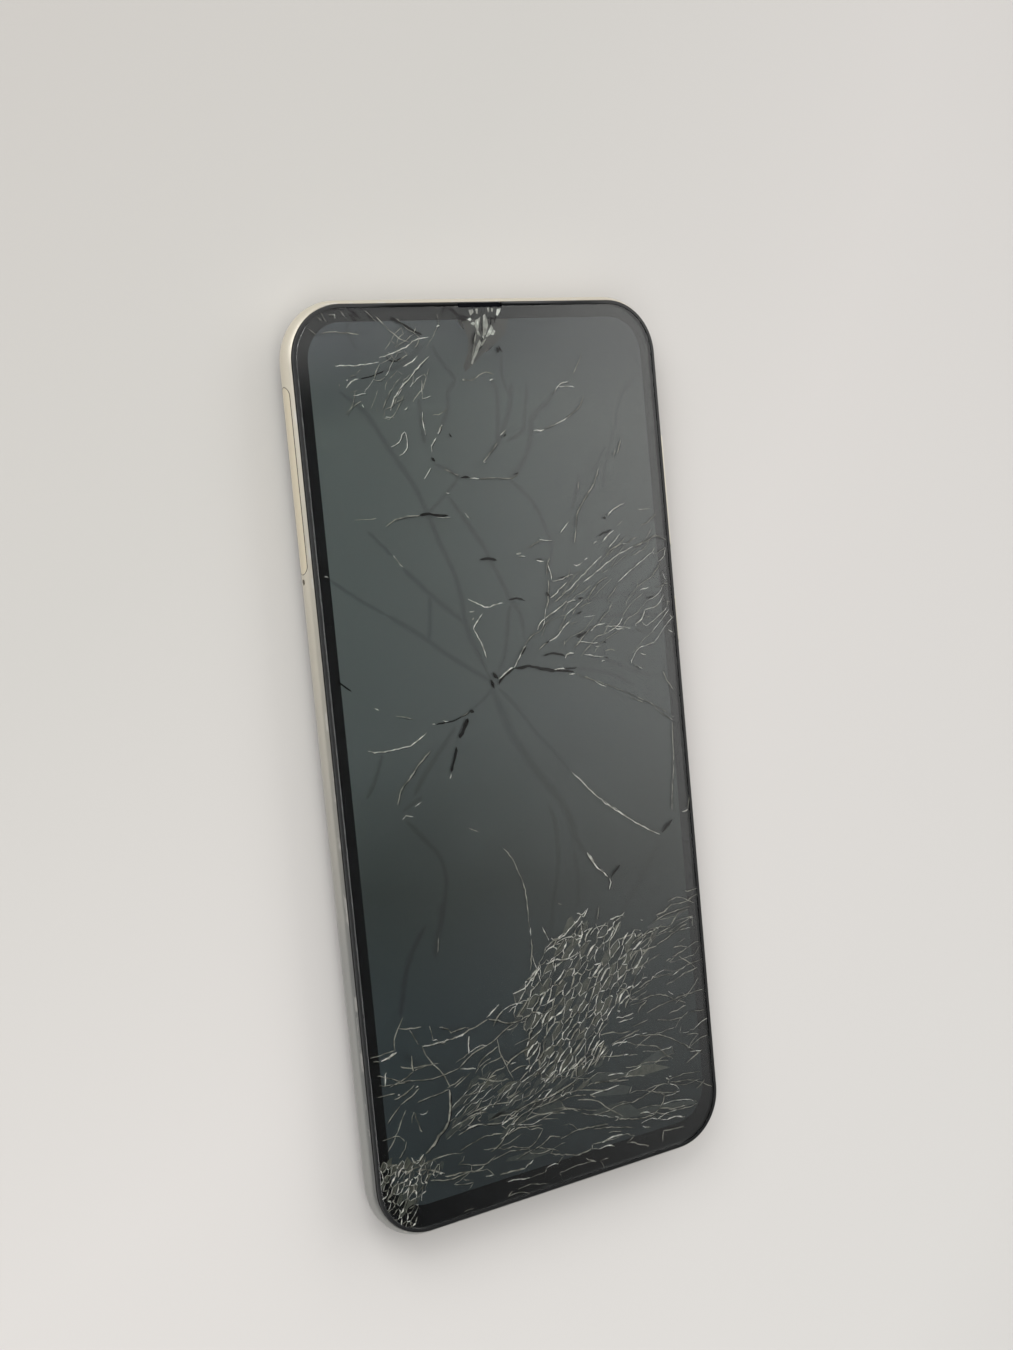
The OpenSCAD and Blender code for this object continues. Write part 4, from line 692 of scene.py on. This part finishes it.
    (0.28, (-4, -70.8), (0, -72.3)), (0.28, (-14, -70.3), (-10, -69.8), (-6, -70.4)),
    (0.36, (-20, -72), (-19, -72.5)),
    (0.42, (-10, -64), (-7, -62.7), (-4, -62.3), (0, -62), (3, -61.2), (6, -60.3)),
    (0.36, (-9, -65), (-6, -63.5), (-2, -63.3), (1, -63)),
    (0.36, (-8, -65.5), (-5, -64.8), (-2, -65), (1, -65.6), (2, -66)),
    (0.36, (0, -64.5), (3, -65.2), (5, -66.5)),
]
shadeLines = [
    (0.8, (-28.5, 64.8), (-24, 61), (-20.3, 55), (-16.5, 49), (-14, 43.4), (-12.3, 38.5), (-10, 33),
     (-9, 28.5), (-8.7, 24.5), (-7.5, 20.5), (-4.5, 13.5)),
    (0.7, (-9.9, 46.5), (-7.5, 43), (-5.5, 40), (-3.8, 37.3), (-2, 33.5), (-0.3, 30), (0.8, 27.5),
     (2.5, 25), (3, 22), (3, 20)),
    (0.7, (0.8, 26.5), (0, 24), (-0.5, 21), (-1.5, 17.5), (-3, 15)),
    (0.5, (-33.9, 34.2), (-29, 30.5), (-24, 27.3)),
    (0.7, (-24, 27.3), (-20.2, 24.8), (-16.3, 22), (-13.3, 19.5), (-9, 16.5), (-4.6, 13.4)),
    (0.7, (-20, 35), (-18, 32.8), (-15.5, 30.3), (-12, 27), (-9, 24.5)), (0.5, (-25.8, 41.5), (-21.7, 37)),
    (0.6, (-15.2, 29.5), (-15.7, 25), (-16.3, 22)), (0.6, (-10, 72), (-9, 69.8), (-6, 66)),
    (0.6, (-6, 66), (-7.8, 64), (-8.2, 61), (-9.8, 58)), (0.6, (-13.6, 63), (-13.7, 58), (-13.3, 55.5)),
    (0.5, (-12, 52), (-7.6, 49.6), (-10.2, 46.6), (-14, 43.6)),
    (1.2, (-4.8, 12.5), (-3, 8), (-1.5, 4), (0.5, 0.5), (3, -3.5), (6, -7.5), (8, -10.5), (9.3, -13.5),
     (10, -17), (12, -20)),
    (0.6, (-3.2, 12), (0, 8.5), (3.5, 3.5), (6.5, 0), (8.5, -2.5), (10.2, -4.7)),
    (0.7, (4.9, -10), (5.9, -14), (5.9, -19), (5, -24), (3.8, -28), (3.3, -31), (2.6, -34)),
    (0.6, (9.4, -19), (9.7, -25), (9, -29.5)),
    (0.7, (28.5, -20.3), (26.5, -23), (25, -25), (22, -28.5), (18, -33)),
    (0.7, (-24, -8), (-21.5, -11), (-18.3, -15), (-17.4, -19), (-18, -23), (-19, -26.5)),
    (0.9, (-18.6, -23), (-19.2, -26.5), (-20.3, -29), (-21, -32.5)),
    (0.8, (-22.3, -26.5), (-25, -30), (-27, -34), (-28.3, -39), (-29, -41)),
    (0.9, (14.2, 63.5), (12.5, 61.5), (10.3, 60), (8.7, 58.5), (8.3, 56), (7.2, 52.8), (5, 50), (3, 48.7)),
    (0.6, (3, 48.3), (6, 45.5), (8, 43), (9.3, 40), (10.4, 36.3), (10, 34), (9, 31)),
    (0.7, (1, 66), (2, 63.5), (1.8, 60), (1.5, 57), (1, 55)),
    (0.8, (5.2, 65), (4.3, 60.5), (2.5, 57), (1.5, 55), (-0.6, 53)),
    (0.6, (8.3, 64.5), (7.5, 60), (6.5, 56.5), (3, 55)),
    (0.5, (22.7, 45), (23.5, 49), (25, 53), (27, 57.5), (28.5, 62), (33, 66)),
    (0.6, (15.5, 42), (17.2, 46), (17.5, 48.5)), (0.4, (20, 48), (22.3, 50.5), (24, 53)),
    (0.6, (-24.4, 71.5), (-26, 75), (-24.5, 77)), (0.6, (-20, 67.9), (-16, 69), (-12, 72)),
    (0.6, (-27.3, 4), (-29, 0), (-31, -3)), (0.8, (-12.5, 6.8), (-15, 4), (-18.5, 0.5), (-22, -4)),
    (0.5, (-24.5, -6.3), (-20.5, -4.4)), (0.5, (3.7, 70), (3.4, 66), (5, 62)),
    (0.5, (-9.6, 8.8), (-6, 11), (-4.8, 12.4)), (0.5, (20, 14.6), (24, 12.6), (30, 10.2)),
    (0.5, (13.2, 13.7), (20, 12), (26, 9)), (0.5, (20, 22.2), (27, 22), (35, 21)),
    (0.5, (17, 25.4), (24, 26), (35, 25)),
]


def smoothRun(points, step=0.7):
    # a smooth curve through the points, a step in mm between its own
    ends = [points[0], *points, points[-1]]
    run = []
    for a, b, c, d in zip(ends, ends[1:], ends[2:], ends[3:]):
        count = max(1, round(math.dist(b, c) / step))
        for i in range(count):
            t = i / count
            run.append(tuple(0.5 * (2 * q + (r - p) * t + (2 * p - 5 * q + 4 * r - s) * t * t
                                    + (3 * q - p - 3 * r + s) * t ** 3) for p, q, r, s in zip(a, b, c, d)))
    run.append(tuple(points[-1]))
    return run


def onGlass(x, y, margin=0.45):
    # within the rounded outline of the glass, by a margin in mm
    half, long, corner = glassW / 2 / mm - margin, glassL / 2 / mm - margin, glass["corner"] - margin
    dx, dy = abs(x) - (half - corner), abs(y) - (long - corner)
    return max(dx, dy) < corner and (min(dx, dy) < 0 or math.hypot(dx, dy) < corner)


def sliverMesh(name, lines, top, flat, material, ragged=0.3, wander=0.06):
    # every line becomes a tapering four-sided sliver with its ridge at the height top
    shape = bpy.data.curves.new(name, "CURVE")
    shape.dimensions = "3D"
    shape.bevel_depth = 0.5 * mm
    shape.bevel_resolution = 0
    shape.use_fill_caps = True
    for width, *points in lines:
        run = [spot for spot in smoothRun(points) if onGlass(*spot)]
        if len(run) < 2:
            continue
        if len(run) < 3:
            middle = tuple((a + b) / 2 for a, b in zip(run[0], run[-1]))
            run = [run[0], middle, run[-1]]
        strand = shape.splines.new("POLY")
        strand.points.add(len(run) - 1)
        for i, (x, y) in enumerate(run):
            fade = min(1, 0.3 + 2.2 * math.sin(math.pi * i / (len(run) - 1)))
            place = ((x + chance.gauss(0, wander)) * mm, (y + chance.gauss(0, wander)) * mm, 0, 1)
            strand.points[i].co = place
            strand.points[i].radius = width * fade * (1 + chance.uniform(-ragged, ragged))
    bm = curveMesh(shape)
    bmesh.ops.scale(bm, vec=(1, 1, flat), verts=bm.verts)
    high = max(v.co.z for v in bm.verts)
    bmesh.ops.translate(bm, vec=(0, 0, top - high), verts=bm.verts)
    return finishPiece(name, bm, material, 20)


def facetMesh(name, faces, top, material):
    # flat fills, one closed outline each
    shape = bpy.data.curves.new(name, "CURVE")
    shape.dimensions = "2D"
    shape.fill_mode = "BOTH"
    for spots in faces:
        ring = shape.splines.new("POLY")
        ring.points.add(len(spots) - 1)
        ring.use_cyclic_u = True
        for point, (x, y) in zip(ring.points, spots):
            point.co = (x * mm, y * mm, 0, 1)
    bm = curveMesh(shape)
    bmesh.ops.translate(bm, vec=(0, 0, top), verts=bm.verts)
    return finishPiece(name, bm, material, faceUp=True)


def inside(x, y, outline):
    hit = False
    for (ax, ay), (bx, by) in zip(outline, outline[1:] + outline[:1]):
        if (ay > y) != (by > y) and x < (bx - ax) * (y - ay) / (by - ay) + ax:
            hit = not hit
    return hit


# patches where the glass broke into small cells: size of a cell across and along in mm, how it lies in
# degrees, share of its edges that show, share of those that are bright, their widths, share of its faces that
# show, and share of those that are light, where it isn't the usual one
patches = [
    # the scales over the lower right
    {"cell": (1.05, 2.9), "lie": 46, "keep": 0.9, "bright": 0.55, "width": (0.13, 0.42), "veil": 0.55,
     "light": 0.5,
     "outline": [(-7, -43), (-3, -40), (2, -34.5), (9, -31), (11.5, -34), (18.5, -33), (16, -37),
                 (22, -36.5), (27, -36.5), (23, -40.5), (23, -44.5), (18.5, -49), (13, -51.5), (10, -55),
                 (14, -58), (8, -59), (-2, -60), (-5, -56), (-4.5, -50), (-7, -47)]},
    # the fan from the point that was hit to the right side
    {"cell": (1.3, 6.5), "lie": 34, "keep": 0.42, "bright": 0.3, "width": (0.08, 0.2), "veil": 0.0,
     "outline": [(2, 16), (6, 24), (12, 31), (19, 34), (27, 38), (36, 36), (35, 16), (22, 14), (12, 16.5)]},
    # long thin cells right of the scales
    {"cell": (1.5, 7), "lie": 8, "keep": 0.5, "bright": 0.22, "width": (0.1, 0.26), "veil": 0.1,
     "outline": [(20, -36), (28, -33), (35.5, -31), (35.7, -62), (24, -62), (15, -56), (20, -49), (24, -43)]},
    # and along the charging end
    {"cell": (1.6, 7.5), "lie": -5, "keep": 0.48, "bright": 0.15, "width": (0.1, 0.26), "veil": 0.12,
     "outline": [(-12, -63), (10, -60), (30, -63), (35, -66), (33, -74), (20, -77.5), (-25, -77.8),
                 (-25, -70), (-14, -67)]},
    # wide cells on the lower left
    {"cell": (2.8, 6), "lie": 14, "keep": 0.3, "bright": 0.3, "width": (0.1, 0.26), "veil": 0.0,
     "outline": [(-34.5, -45), (-20, -44), (-6, -42), (-4, -50), (-8, -57), (-20, -56), (-30, -64),
                 (-35, -64)]},
    # two brushes of fine cells between them
    {"cell": (0.8, 3.2), "lie": 28, "keep": 0.7, "bright": 0.4, "width": (0.1, 0.24), "veil": 0.55,
     "outline": [(-20.5, -57.5), (-15, -55), (-9.5, -56), (-9, -59), (-17, -63.5), (-22, -64)]},
    {"cell": (0.85, 3.2), "lie": 24, "keep": 0.7, "bright": 0.34, "width": (0.1, 0.26), "veil": 0.6,
     "outline": [(-10, -58), (-4, -56), (6, -57), (13, -57), (7, -62), (-4, -64.5), (-12, -67)]},
    # the crushed corner
    {"cell": (0.85, 1.6), "lie": 55, "keep": 0.9, "bright": 0.5, "width": (0.1, 0.4), "veil": 0.9,
     "light": 0.5,
     "outline": [(-35.8, -64.5), (-33, -65.5), (-28, -66), (-23, -69), (-27, -71), (-28.5, -74),
                 (-30.5, -77.8), (-33.5, -76.5), (-35.6, -71)]},
    # the crown at the left of the earpiece
    {"cell": (1.3, 4.6), "lie": 48, "keep": 0.36, "bright": 0.2, "width": (0.08, 0.18), "veil": 0,
     "outline": [(-22, 57), (-13, 64), (-8, 73), (-15, 76.5), (-30, 66), (-25, 60)]},
]


def breakUp(how):
    # cells of one patch: their edges as bright and pale lines, and their faces
    turn = math.radians(how["lie"])
    across, along = how["cell"]
    c, s = math.cos(turn), math.sin(turn)
    spots = [((x * c + y * s) / along, (y * c - x * s) / across) for x, y in how["outline"]]
    left, right = min(u for u, v in spots) - 2, max(u for u, v in spots) + 2
    low, high = min(v for u, v in spots) - 2, max(v for u, v in spots) + 2
    stray, bend = cracks["stray"], cracks["bend"]
    seeds = [Vector((left + i + 0.5 * (j % 2) + chance.gauss(0, stray), low + j + chance.gauss(0, stray)))
             for i in range(int(right - left) + 1) for j in range(int(high - low) + 1)]
    found = delaunay_2d_cdt(seeds, [], [], 0, 0.000001)
    centres, byEdge, bySeed = [], {}, {}
    # a corner of a cell is the middle of the circle through three neighbouring seeds
    for k, corners in enumerate(found[2]):
        (ax, ay), (bx, by), (cx, cy) = (found[0][i] for i in corners)
        aa, bb, cc = ax * ax + ay * ay, bx * bx + by * by, cx * cx + cy * cy
        d = 2 * (ax * (by - cy) + bx * (cy - ay) + cx * (ay - by)) or 1e-6
        u = (aa * (by - cy) + bb * (cy - ay) + cc * (ay - by)) / d
        v = (aa * (cx - bx) + bb * (ax - cx) + cc * (bx - ax)) / d
        centres.append((u * along * c - v * across * s, u * along * s + v * across * c))
        for i, a in enumerate(corners):
            byEdge.setdefault(frozenset((a, corners[i - 1])), []).append(k)
            bySeed.setdefault(a, []).append(k)
    bright, pale, faces = [], [], []
    for pair in byEdge.values():
        if len(pair) == 2:
            a, b = (centres[k] for k in pair)
            size = math.dist(a, b)
            middle = tuple((p + q) / 2 + chance.gauss(0, bend) * size for p, q in zip(a, b))
            fits = cracks["shortest"] < size < 3 * along and inside(*middle, how["outline"])
            if fits and chance.random() < how["keep"]:
                thin, thick = how["width"]
                width = thin + (thick - thin) * chance.random() ** 2
                (bright if chance.random() < how["bright"] else pale).append((width, a, middle, b))
    for ring in bySeed.values():
        spots = [centres[k] for k in ring]
        mx, my = (sum(values) / len(spots) for values in zip(*spots))
        if len(ring) > 3 and inside(mx, my, how["outline"]) and chance.random() < how["veil"]:
            spots.sort(key=lambda p: math.atan2(p[1] - my, p[0] - mx))
            if max(math.dist(p, (mx, my)) for p in spots) < 0.9 * along and all(onGlass(*p) for p in spots):
                faces.append(spots)
    return bright, pale, faces


# angular splinters left standing round the earpiece slot, dull and bright, the bright ones with a painted
# highlight, and the bare patch under them
dullShards = [
    [(-1, 76), (0.1, 76.6), (-0.3, 75.3), (-0.6, 74.3), (-0.2, 73.3), (-0.8, 73.5), (-1, 74.5), (-1.3, 75.3)],
    [(0.7, 76.7), (1.1, 77.1), (1.4, 76.2), (1.5, 75.1), (0.9, 73.6), (0.3, 73.2), (0.1, 74.3), (0.4, 75.5)],
    [(-1.6, 73.4), (-1.1, 74.3), (-1.1, 73.4), (-1.6, 72.4), (-1.9, 71.8), (-2, 72)],
    [(-0.5, 72.7), (-0.2, 72.2), (-0.7, 71.2), (-1.4, 70.1), (-2, 69.3), (-2.3, 68.5), (-2.7, 68.6),
     (-2.3, 69.5), (-1.7, 70.6), (-1.3, 71.6)],
    [(-0.8, 78), (-0.3, 78), (-0.4, 77.1), (-0.7, 77.2)],
    [(1.6, 78.1), (2, 78.2), (2, 77.5), (1.7, 77.4)],
    [(-2.2, 77.8), (-1.3, 77.9), (-1.2, 77.4), (-1.9, 76.8)],
    [(2.4, 78.1), (2.9, 78), (2.7, 77.4), (2.4, 77.5)],
]
keenShards = [
    [(2.1, 75.2), (2.5, 74.6), (1.9, 73.6), (1.1, 73.1), (0.8, 73.2), (1.4, 74.1), (1.8, 74.7)],
    [(1.9, 73.5), (2.5, 74.4), (2.9, 74.1), (2.4, 73.4)],
    [(3.3, 76.9), (3.6, 77.9), (4.4, 78), (4.2, 77.4), (3.6, 76.7)],
    [(-2.6, 76.2), (-2, 76.5), (-1.7, 76.2), (-2.1, 75.9)],
    [(-2, 75.5), (-1.5, 75.8), (-1, 75.5), (-1.5, 75.1)],
    [(0.9, 72.9), (0.4, 72.2), (-0.1, 71.6), (-0.4, 71.8), (0.3, 72.5)],
    [(0, 73.3), (0.5, 73.3), (0.4, 72.8), (0, 72.8)],
    [(0.6, 76.7), (1, 77.1), (1, 75.7), (0.6, 74.5)],
    [(-0.8, 75.7), (-0.4, 76.1), (-0.5, 75.1), (-0.8, 74.5)],
]
scar = [(-5, 78.1), (5.7, 78.1), (5.7, 76.3), (4.9, 73.6), (2, 71.5), (-0.1, 70.3), (-1.8, 68.8),
        (-3.9, 67.3), (-4.3, 68.1), (-3, 70.8), (-2.8, 73), (-3.7, 75.7)]

cracks = {
    "proud": 0.012,  # ridge of a bright sliver above the face of the glass, mm
    "flat": 0.28,  # height of a sliver over its width
    "bright": 0.56,  # width of a sliver over that of its line
    "pale": 0.54,
    "open": 1.2,
    "shade": 0.85,
    "soft": 1.7,
    "hair": (0.5, 0.15, -0.16, 0.62),  # width over that of its edge, place beside it, share of edges with one
    "stray": 0.24,  # how far a cell's middle strays, over the cell
    "bend": 0.08,  # and the middle of an edge, over its length
    "shortest": 0.25,  # edge of a cell that is drawn, mm
    "light": 0.12,  # the usual share of light faces in a patch
    "print": 0.036,  # height of the layers under the glass over its underside, mm
}
brightLines = [(w * cracks["bright"], *p) for w, *p in brightLines]
paleLines = [(w * cracks["pale"], *p) for w, *p in paleLines]
dimFaces, lightFaces = [], []
for patch in patches:
    bright, pale, faces = breakUp(patch)
    brightLines += bright
    paleLines += pale
    for spots in faces:
        (lightFaces if chance.random() < patch.get("light", cracks["light"]) else dimFaces).append(spots)
# a painted hair of shadow lies beside most broken edges
hairWidth, hairX, hairY, hairShare = cracks["hair"]
hairLines = [(hairWidth * w, *((x + hairX, y + hairY) for x, y in p)) for w, *p in brightLines + paleLines
             if chance.random() < hairShare]
openLines = [(w * cracks["open"], *p) for w, *p in openLines]
softLines = [(w * cracks["soft"], *p) for w, *p in shadeLines]
shadeLines = [(w * cracks["shade"], *p) for w, *p in shadeLines]
proud, flat = cracks["proud"] * mm, cracks["flat"]
# the layers under the glass lie a few micrometres apart, so that no two share a plane
printTop = glassLow.z + cracks["print"] * mm
pieces = [
    sliverMesh("brokenEdgesBright", brightLines, glassTop + proud, flat, glintEdgePaint),
    sliverMesh("brokenEdgesPale", paleLines, glassTop + 0.6 * proud, flat, paleEdge),
    sliverMesh("openCracks", openLines, glassTop + 1.4 * proud, flat, openCrack),
    sliverMesh("crackShadesSoft", softLines, printTop - 0.02 * mm, 0.005, softShade, 0.1, 0.05),
    sliverMesh("crackShades", shadeLines, printTop - 0.012 * mm, 0.01, crackShade, 0.15, 0.05),
    facetMesh("crazedCellsDim", dimFaces, printTop - 0.008 * mm, dimVeil),
    facetMesh("crazedCellsLight", lightFaces, printTop - 0.004 * mm, lightVeil),
    facetMesh("notchScar", [scar], printTop - 0.01 * mm, bareBack),
    facetMesh("notchShardsDull", dullShards, printTop - 0.003 * mm, shardFace),
    facetMesh("notchShardsBright", keenShards, printTop - 0.001 * mm, glintEdgePaint),
    sliverMesh("crackShadowHairs", hairLines, glassTop + 0.2 * proud, flat, hairShade),
]
for piece in pieces:
    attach(piece, "phone")
    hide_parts("cover_glass")
print("cracks laid", [len(p.data.polygons) for p in pieces])

# a painted shadow line: a dark ring in the gap round the tray's face, standing in for the shade in the
# groove, which follows the round side of the frame
trayLow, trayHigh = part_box("sim_tray")
tray = {
    "thick": 0.14,
    "sunk": 0.42,  # how deep it sits, over its thickness
    "out": 0.06,  # beyond the outline of the face, mm
    "widest": 5.6,  # height where the side is widest
    "curve": 3.4,  # its radius there
}


def trayRing(how):
    shape = bpy.data.curves.new("trayGapShadow", "CURVE")
    shape.dimensions = "3D"
    shape.bevel_depth = how["thick"] / 2 * mm
    shape.bevel_resolution = 2
    ring = shape.splines.new("POLY")
    ring.use_cyclic_u = True
    half = (trayHigh.z - trayLow.z) / 2 / mm
    straight = (trayHigh.y - trayLow.y) / 2 / mm - half
    middle = (trayLow + trayHigh) / 2 / mm
    radius = half + how["out"]
    turns = [math.radians(12 * i - 90) for i in range(16)]
    spots = [(side * (straight + radius * math.cos(a)), side * radius * math.sin(a))
             for side in (1, -1) for a in turns]
    ring.points.add(len(spots) - 1)
    for point, (along, up) in zip(ring.points, spots):
        drop = middle.z + up - how["widest"]
        inward = how["curve"] - math.sqrt(how["curve"] ** 2 - drop ** 2)
        out = trayLow.x + (how["thick"] * how["sunk"] + inward) * mm
        point.co = (out, (middle.y + along) * mm, (middle.z + up) * mm, 1)
    bm = curveMesh(shape)
    for vert in bm.verts:
        vert.co.x = max(vert.co.x, trayLow.x)
    return finishPiece("trayGapShadow", bm, gapShadowPaint)


gapShadow = trayRing(tray)
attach(gapShadow, "phone")
print("tray's gap filled")

# what is seen comes first, and the inside has plain finishes
finishes = [
    (anodised, ["mid_frame", "volume_rocker", "power_button"]),
    (trayAnodised, ["sim_tray"]),
    (displayFace, ["display_panel"]),
    (plainFinish("woven_steel_mesh", "3c3d3e", "7d7f80", 0.14, 0.4, metal=1.0, bump=0.05),
     ["earpiece_mesh", "speaker_mesh"]),
    (plainFinish("painted_rear_glass_charcoal", "2b2d31", "33363b", 40.0, 0.09, spread=0.03, Coat_Weight=0.6),
     ["rear_cover"]),
    (plainFinish("turned_aluminium_ring", "8b8e90", "b4b7b8", 0.3, 0.28, metal=1.0, bump=0.004,
                 stretch=(1, 1, 8)), ["camera_ring"]),
    (plainFinish("camera_window_glass_dark", "07080b", "101218", 12.0, 0.05, spread=0.02, Coat_Weight=1.0),
     ["camera_window"]),
    (plainFinish("moulded_flash_lens", "e6e1c8", "f4f0de", 1.0, 0.2, bump=0.02), ["flash_lens"]),
    (plainFinish("led_phosphor_yellow", "d9b92c", "ecd358", 0.4, 0.6, bump=0.01), ["flash_led"]),
    (plainFinish("camera_housing_black", "0f1012", "1c1d20", 0.5, 0.55, bump=0.01),
     ["main_camera", "wide_camera", "depth_camera", "front_camera"]),
    (plainFinish("lens_barrel_black", "08090a", "141518", 0.4, 0.3, bump=0.01, stretch=(1, 1, 5)),
     ["main_lens"]),
    (plainFinish("closed_cell_foam_black", "141414", "202021", 0.3, 0.9, bump=0.05), ["panel_cushion"]),
    (plainFinish("adhesive_tape_black", "0d0d0e", "1a1a1b", 0.8, 0.5, bump=0.01),
     ["screen_tape", "cover_adhesive"]),
    (plainFinish("polyimide_flex_amber", "8a4f1c", "a8662a", 2.0, 0.35, bump=0.01, stretch=(1, 6, 1)),
     ["display_flex", "battery_flex", "main_flex", "key_flex"]),
    (plainFinish("speaker_resin_black", "17181a", "242528", 0.4, 0.6, bump=0.02),
     ["earpiece_speaker", "loudspeaker"]),
    (plainFinish("sensor_resin_smoky", "15161c", "262833", 0.8, 0.15, Coat_Weight=0.4), ["proximity_sensor"]),
    (plainFinish("solder_mask_blue_black", "101c2c", "1c2f45", 1.6, 0.35, bump=0.01),
     ["mainboard", "sub_board"]),
    (plainFinish("chip_epoxy_black", "141416", "232326", 0.3, 0.7, bump=0.01),
     ["processor", "memory_chip", "power_chip", "radio_chip"]),
    (plainFinish("stamped_steel_tinned", "8f9294", "b9bcbe", 0.5, 0.35, metal=1.0, bump=0.01,
                 stretch=(5, 1, 1)),
     ["shield_can", "sim_reader", "eject_rod", "eject_lever", "usb_socket", "motor_case", "motor_base",
      "key_switches", "key_bracket"]),
    (plainFinish("battery_pouch_black", "15171a", "24272b", 3.0, 0.4, bump=0.05), ["battery"]),
    (plainFinish("pull_tape_white", "cfcfca", "e8e8e4", 1.0, 0.6, bump=0.02), ["battery_tape"]),
    (plainFinish("coaxial_jacket_grey", "3a3c3f", "55585c", 0.6, 0.5, bump=0.01), ["antenna_cable"]),
    (plainFinish("sintered_tungsten_weight", "55534f", "787570", 0.2, 0.45, metal=1.0, bump=0.02),
     ["motor_rotor"]),
    (plainFinish("gilt_can", "b08d3e", "d3b263", 0.4, 0.3, metal=1.0, bump=0.005), ["microphones"]),
    (plainFinish("connector_nylon_brown", "2a211b", "3d3028", 0.4, 0.6, bump=0.01), ["board_connectors"]),
    (plainFinish("bracket_polycarbonate_black", "15161a", "25262b", 0.5, 0.55, bump=0.02),
     ["top_bracket", "bottom_bracket"]),
    (plainFinish("screw_steel_blackened", "2c2c2e", "59595c", 0.25, 0.4, metal=1.0, bump=0.01), ["screws"]),
]
for material, names in finishes:
    for name in names:
        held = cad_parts[name].data.materials
        held.clear()
        held.append(material)
print("carried pieces dressed", sum(len(names) for _, names in finishes))
